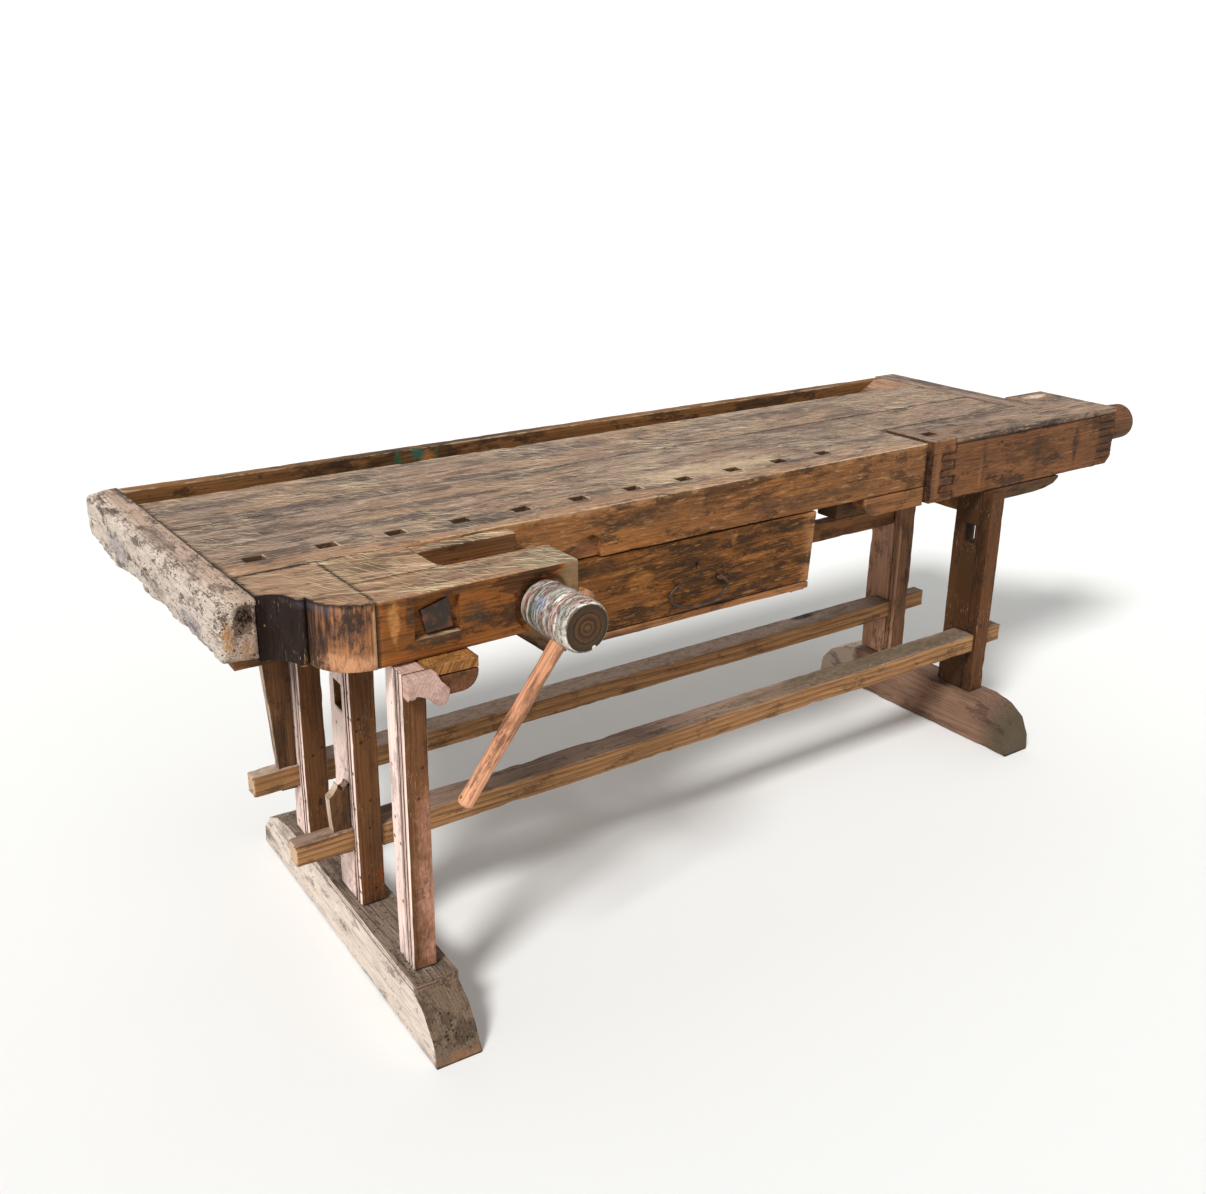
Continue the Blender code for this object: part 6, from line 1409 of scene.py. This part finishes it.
def makeStretchers():
    # each is a body between the trestles and one tenon that runs through its whole length
    p = stretcherShape
    low, high, inset = p["low"], p["high"], p["tenonInset"]
    for which, y in stretcherLines.items():
        outLeft, outRight = tenonOut[which]
        start = leftFace(y) + legOut - legIn + 0.002
        body, guide = carvedBar(which + "_stretcher_body", rect((y, y + p["width"]), (low, high)), "X",
                                (start, p["rightEnd"]), worn=0.003, chips=0.005, swell=0.001)
        paintEdges(body, guide)
        section = rect((y + inset, y + p["width"] - inset), (low + 0.001, high - 0.001))
        tenon, guide = carvedBar(which + "_stretcher_tenon", section, "X",
                                 (leftFace(y) - outLeft, rightSide["at"] + legOut + outRight), worn=0.002,
                                 ends=(0.004, 0.004))
        paintEdges(tenon, guide)
        finished(which + "_stretcher_worn", joined(which + "_stretcher_worn", [body, tenon]), looks["stretcher"],
                 which + "_stretcher", topLook=looks["stretcherTop"])
    bar("under_rail_worn", "drawer_back_rail", "orange", rect((0.262, 0.297), (0.475, 0.522)), "X",
        (leftFace(0.262) + 0.050, p["rightEnd"]), worn=0.002)


def makeWedges():
    # each stands against the legs' faces and narrows downwards; the front one's top is split
    p, s = wedges, stretcherShape
    face = legIn - gap
    foot = face - p["footThick"]
    for which, rise in p["rise"].items():
        middle = stretcherLines[which] + s["width"] / 2 - benchFrame["trestleY"]
        top = s["high"] + rise
        wide = foot - p["taper"] * (top - p["low"])
        outline = [(foot, p["low"]), (face, p["low"]), (face, top)]
        if which == "front":
            outline += [(face - 0.0143, top - 0.0096), (face - 0.0204, top), (face - 0.0323, top - 0.016),
                        (wide + 0.0034, top - 0.0224)]
        else:
            outline.append((wide, top))
        bar(which + "_wedge_worn", which + "_wedge", "orangeUpright", outline, "Y",
            (middle - p["halfThick"], middle + p["halfThick"]), frameOf=leftTrestle, worn=0.0015, chips=0.003,
            spacing=0.008)


makeFoot("left_foot_worn", "left_foot", "foot", leftSide, leftTrestle, "footTop")
makeFoot("right_foot_worn", "right_foot", "rightFoot", rightSide, rightTrestle)
makeLeftTrestle()
makeRightTrestle()
makeStretchers()
makeWedges()
print("trestles made")

# The drawer: its front leans out at the upper right corner, and carries the bail
drawer = dict(left=0.632, right=1.258, low=0.497, boardThick=0.016, top=0.6685, sideTop=0.6565,
              frontY=(-0.001, 0.0207), back=0.249, sideThick=0.014, leftInset=0.004, rightInset=0.018, flare=0.012,
              keyX=0.945, keyLow=0.6005, keyZ=0.6115, keyRadius=0.004, keyHalf=0.0018)
bail = dict(halfWidth=0.074, halfHeight=0.031, opening=50.0, wire=0.0028, z=0.5765, y=-0.010, sides=16, steps=44)
runners = dict(low=0.479, groove=0.4967, top=0.6697, y=(0.030, 0.2617), outer=0.018, inner=0.022, clearance=0.0015)


def makeDrawerBox():
    p = drawer
    left, right = p["left"], p["right"]
    low = p["low"] + p["boardThick"] + gap

    def flare(points):
        # the right end leans out with height
        reach = np.clip((points[:, 0] - left) / (right - left), 0.0, 1.0) ** 6
        points[:, 0] += p["flare"] * reach * (points[:, 2] - low) / (p["top"] - low)
        return points

    key = [(p["keyX"] - p["keyHalf"], p["keyLow"]), (p["keyX"] + p["keyHalf"], p["keyLow"])]
    key += arcPoints(p["keyX"], p["keyZ"], p["keyRadius"], -63, 243, 12)
    bar("drawer_front_worn", "drawer_front", "drawer", rect(p["frontY"], (low, p["top"])), "X", (left, right),
        body="drawer", worn=0.0025, chips=0.006, swell=0.001, bend=flare,
        cutters=([outlineCutter(key, "Y", (-0.05, 0.05))],))
    bottom = rect((p["frontY"][0], p["back"]), (p["low"], p["low"] + p["boardThick"]))
    bar("drawer_bottom_worn", "drawer_bottom", "drawerLip", bottom, "X", (left, right), body="drawer", worn=0.002)
    inside = dict(body="drawer", worn=0.0008)
    for name, node, x in (("drawer_left_worn", "drawer_side_left", left + p["leftInset"]),
                          ("drawer_right_worn", "drawer_side_right", right - p["rightInset"])):
        bar(name, node, "drawerInside", rect((x, x + p["sideThick"]), (low, p["sideTop"])), "Y", (0.021, p["back"]),
            **inside)
    bar("drawer_back_worn", "drawer_back", "drawerInside", rect((0.235, p["back"]), (low, p["sideTop"])), "X",
        (left + 0.0183, right - 0.0183), **inside)


def makeBail():
    # the wire's path is an open ellipse whose ends turn into the lugs; it is fullest at the grip
    p = bail
    wide, tall, sides = p["halfWidth"], p["halfHeight"], p["sides"]
    half = math.radians(p["opening"])
    lugX = wide * math.sin(half) - 0.0035
    turn = half + (2 * math.pi - 2 * half) * np.arange(1, p["steps"]) / p["steps"]
    bow = np.stack([wide * np.sin(turn), tall * np.cos(turn) - tall * math.cos(half)], axis=1)
    path = np.concatenate([[(lugX - 0.007, 0.0), (lugX + 0.004, 0.0)], bow,
                           [(-lugX - 0.004, 0.0), (-lugX + 0.007, 0.0)]])
    step = np.gradient(path, axis=0)
    step /= np.linalg.norm(step, axis=1)[:, None]
    fullness = np.clip(-path[:, 1] / (2 * tall) - 0.5, 0, 1)
    grip = np.clip(1 - np.abs(path[:, 0]) / (0.45 * wide), 0, 1)
    radius = 1.25 * p["wire"] * (1 + 0.9 * fullness * grip)
    angles = np.linspace(0, 2 * math.pi, sides, endpoint=False)
    # a ring of radius r at each path point: point = path + r (cos a * side + sin a * Y)
    side = np.stack([-step[:, 1], step[:, 0]], axis=1)
    rings = np.empty((len(path), sides, 3))
    rings[..., 0] = path[:, None, 0] + radius[:, None] * np.cos(angles) * side[:, None, 0]
    rings[..., 1] = radius[:, None] * np.sin(angles)
    rings[..., 2] = path[:, None, 1] + radius[:, None] * np.cos(angles) * side[:, None, 1]
    rings = rings.reshape(-1, 3) + np.array([(drawer["left"] + drawer["right"]) / 2, p["y"], p["z"]])
    mesh = closedTube("bail_worn", rings, len(path), sides, smoothEnds=True)
    finished("bail_worn", mesh, looks["iron"], "drawer_bail", "bail")


def makeRunners():
    p = runners
    for name, node, x, sign in (
            ("runner_left_worn", "drawer_runner_left", drawer["left"] - p["clearance"], -1),
            ("runner_right_worn", "drawer_runner_right", drawer["right"] + p["clearance"], 1)):
        far, near = x + sign * p["outer"], x - sign * p["inner"]
        outline = [(near, p["low"]), (near, p["groove"]), (x, p["groove"]), (x, p["top"]), (far, p["top"]),
                   (far, p["low"])]
        bar(name, node, "drawerInside", outline, "Y", p["y"], worn=0.001)


makeDrawerBox()
makeBail()
makeRunners()
print("drawer made")

for node, look in (("tail_garter_key", "orangeUpright"), ("tail_nut_block", "tray"), ("tail_rail_keeper", "tray"),
                   ("drawer_lock", "iron"), ("bail_lug_left", "iron"), ("bail_lug_right", "iron")):
    bpy.data.objects[node].material_slots[0].material = looks[look]

# The stage: a sheet of floor that turns up into a backdrop, two soft suns (way of the light, degrees across) and an
# even fill. The view is the photograph's camera, solved in the bench's frame.
stage = dict(floor=(232, 232, 230), reach=16.0, columns=5, depth=5.0, rise=9.0, bend=2.0, turn=-35.4,
             key=3.0, keyWay=(0.80, 0.45, -0.95), keySoft=14.0,
             front=0.25, frontWay=(-0.1, 0.9, -0.45), frontSoft=40.0, fill=0.42)
view = dict(yaw=35.438, pitch=20.803, roll=0.7385, focal=1297.62, photoWidth=1206.0, film=36.0,
            place=(-0.63, -1.89, 1.47))


def makeStage():
    # the path runs along the floor, round a quarter circle and up; the sheet carries it across from side to side
    p = stage
    reach, depth, bend, columns = p["reach"], p["depth"], p["bend"], p["columns"]
    a = np.radians(np.linspace(0, 90, 24))
    path = np.concatenate([[(-reach, 0.0)], np.stack([depth + bend * np.sin(a), bend - bend * np.cos(a)], axis=1),
                           [(depth + bend, p["rise"])]])
    across = np.tile(np.linspace(-reach, reach, columns), len(path))
    points = np.concatenate([across[:, None], np.repeat(path, columns, axis=0)], axis=1)
    turn = math.radians(p["turn"])
    points[:, :2] = points[:, :2] @ np.array([[math.cos(turn), math.sin(turn)], [-math.sin(turn), math.cos(turn)]])
    r, c = np.meshgrid(np.arange(len(path) - 1), np.arange(columns - 1), indexing="ij")
    first = (r * columns + c).ravel()
    faces = np.stack([first, first + 1, first + columns + 1, first + columns], axis=1)
    floor = bpy.data.objects.new("floor", meshFrom("floor", points, faces.tolist()))
    bpy.context.scene.collection.objects.link(floor)
    material, _, shader = newMaterial("studio floor")
    shader.inputs["Base Color"].default_value = tone(*p["floor"])
    shader.inputs["Roughness"].default_value = 0.9
    shader.inputs["Specular IOR Level"].default_value = 0.1
    floor.data.materials.append(material)


def sun(name, energy, way, soft):
    data = bpy.data.lights.new(name, "SUN")
    data.energy = energy
    data.angle = math.radians(soft)
    light = bpy.data.objects.new(name, data)
    light.rotation_euler = Vector(way).to_track_quat("-Z", "Y").to_euler()
    bpy.context.scene.collection.objects.link(light)


def makeCamera():
    p = view
    yaw, pitch, roll = math.radians(p["yaw"]), math.radians(p["pitch"]), math.radians(p["roll"])
    forward = Vector((math.sin(yaw) * math.cos(pitch), math.cos(yaw) * math.cos(pitch), -math.sin(pitch)))
    right = Vector((math.cos(yaw), -math.sin(yaw), 0.0))
    up = right.cross(forward)
    side = right * math.cos(roll) + up * math.sin(roll)
    top = up * math.cos(roll) - right * math.sin(roll)
    x, y, z = p["place"]
    data = bpy.data.cameras.new("camera")
    data.lens = p["film"] * p["focal"] / p["photoWidth"]
    data.sensor_width = p["film"]
    camera = bpy.data.objects.new("camera", data)
    camera.matrix_world = Matrix((
        (side.x, top.x, -forward.x, x + home.translation.x),
        (side.y, top.y, -forward.y, y + home.translation.y),
        (side.z, top.z, -forward.z, z), (0, 0, 0, 1)))
    bpy.context.scene.collection.objects.link(camera)
    bpy.context.scene.camera = camera


def makeWorld():
    # an even fill, which the camera, gloss and glass see as white
    world = bpy.data.worlds.new("studio")
    bpy.context.scene.world = world
    world.use_nodes = True
    tree = world.node_tree
    path = tree.nodes.new("ShaderNodeLightPath")
    seen = sums(tree, "MAXIMUM", path.outputs["Is Camera Ray"], path.outputs["Is Glossy Ray"])
    seen = sums(tree, "MAXIMUM", seen, path.outputs["Is Transmission Ray"])
    strength = sums(tree, "MULTIPLY_ADD", seen, 1.0 - stage["fill"], stage["fill"])
    tree.links.new(strength, tree.nodes["Background"].inputs[1])
    tree.nodes["Background"].inputs[0].default_value = (1.0, 1.0, 1.0, 1.0)


makeStage()
sun("key", stage["key"], stage["keyWay"], stage["keySoft"])
sun("front fill", stage["front"], stage["frontWay"], stage["frontSoft"])
makeWorld()
makeCamera()
bpy.context.scene.view_settings.view_transform = "Standard"
print("stage made")

print("pieces:", pieceCount)
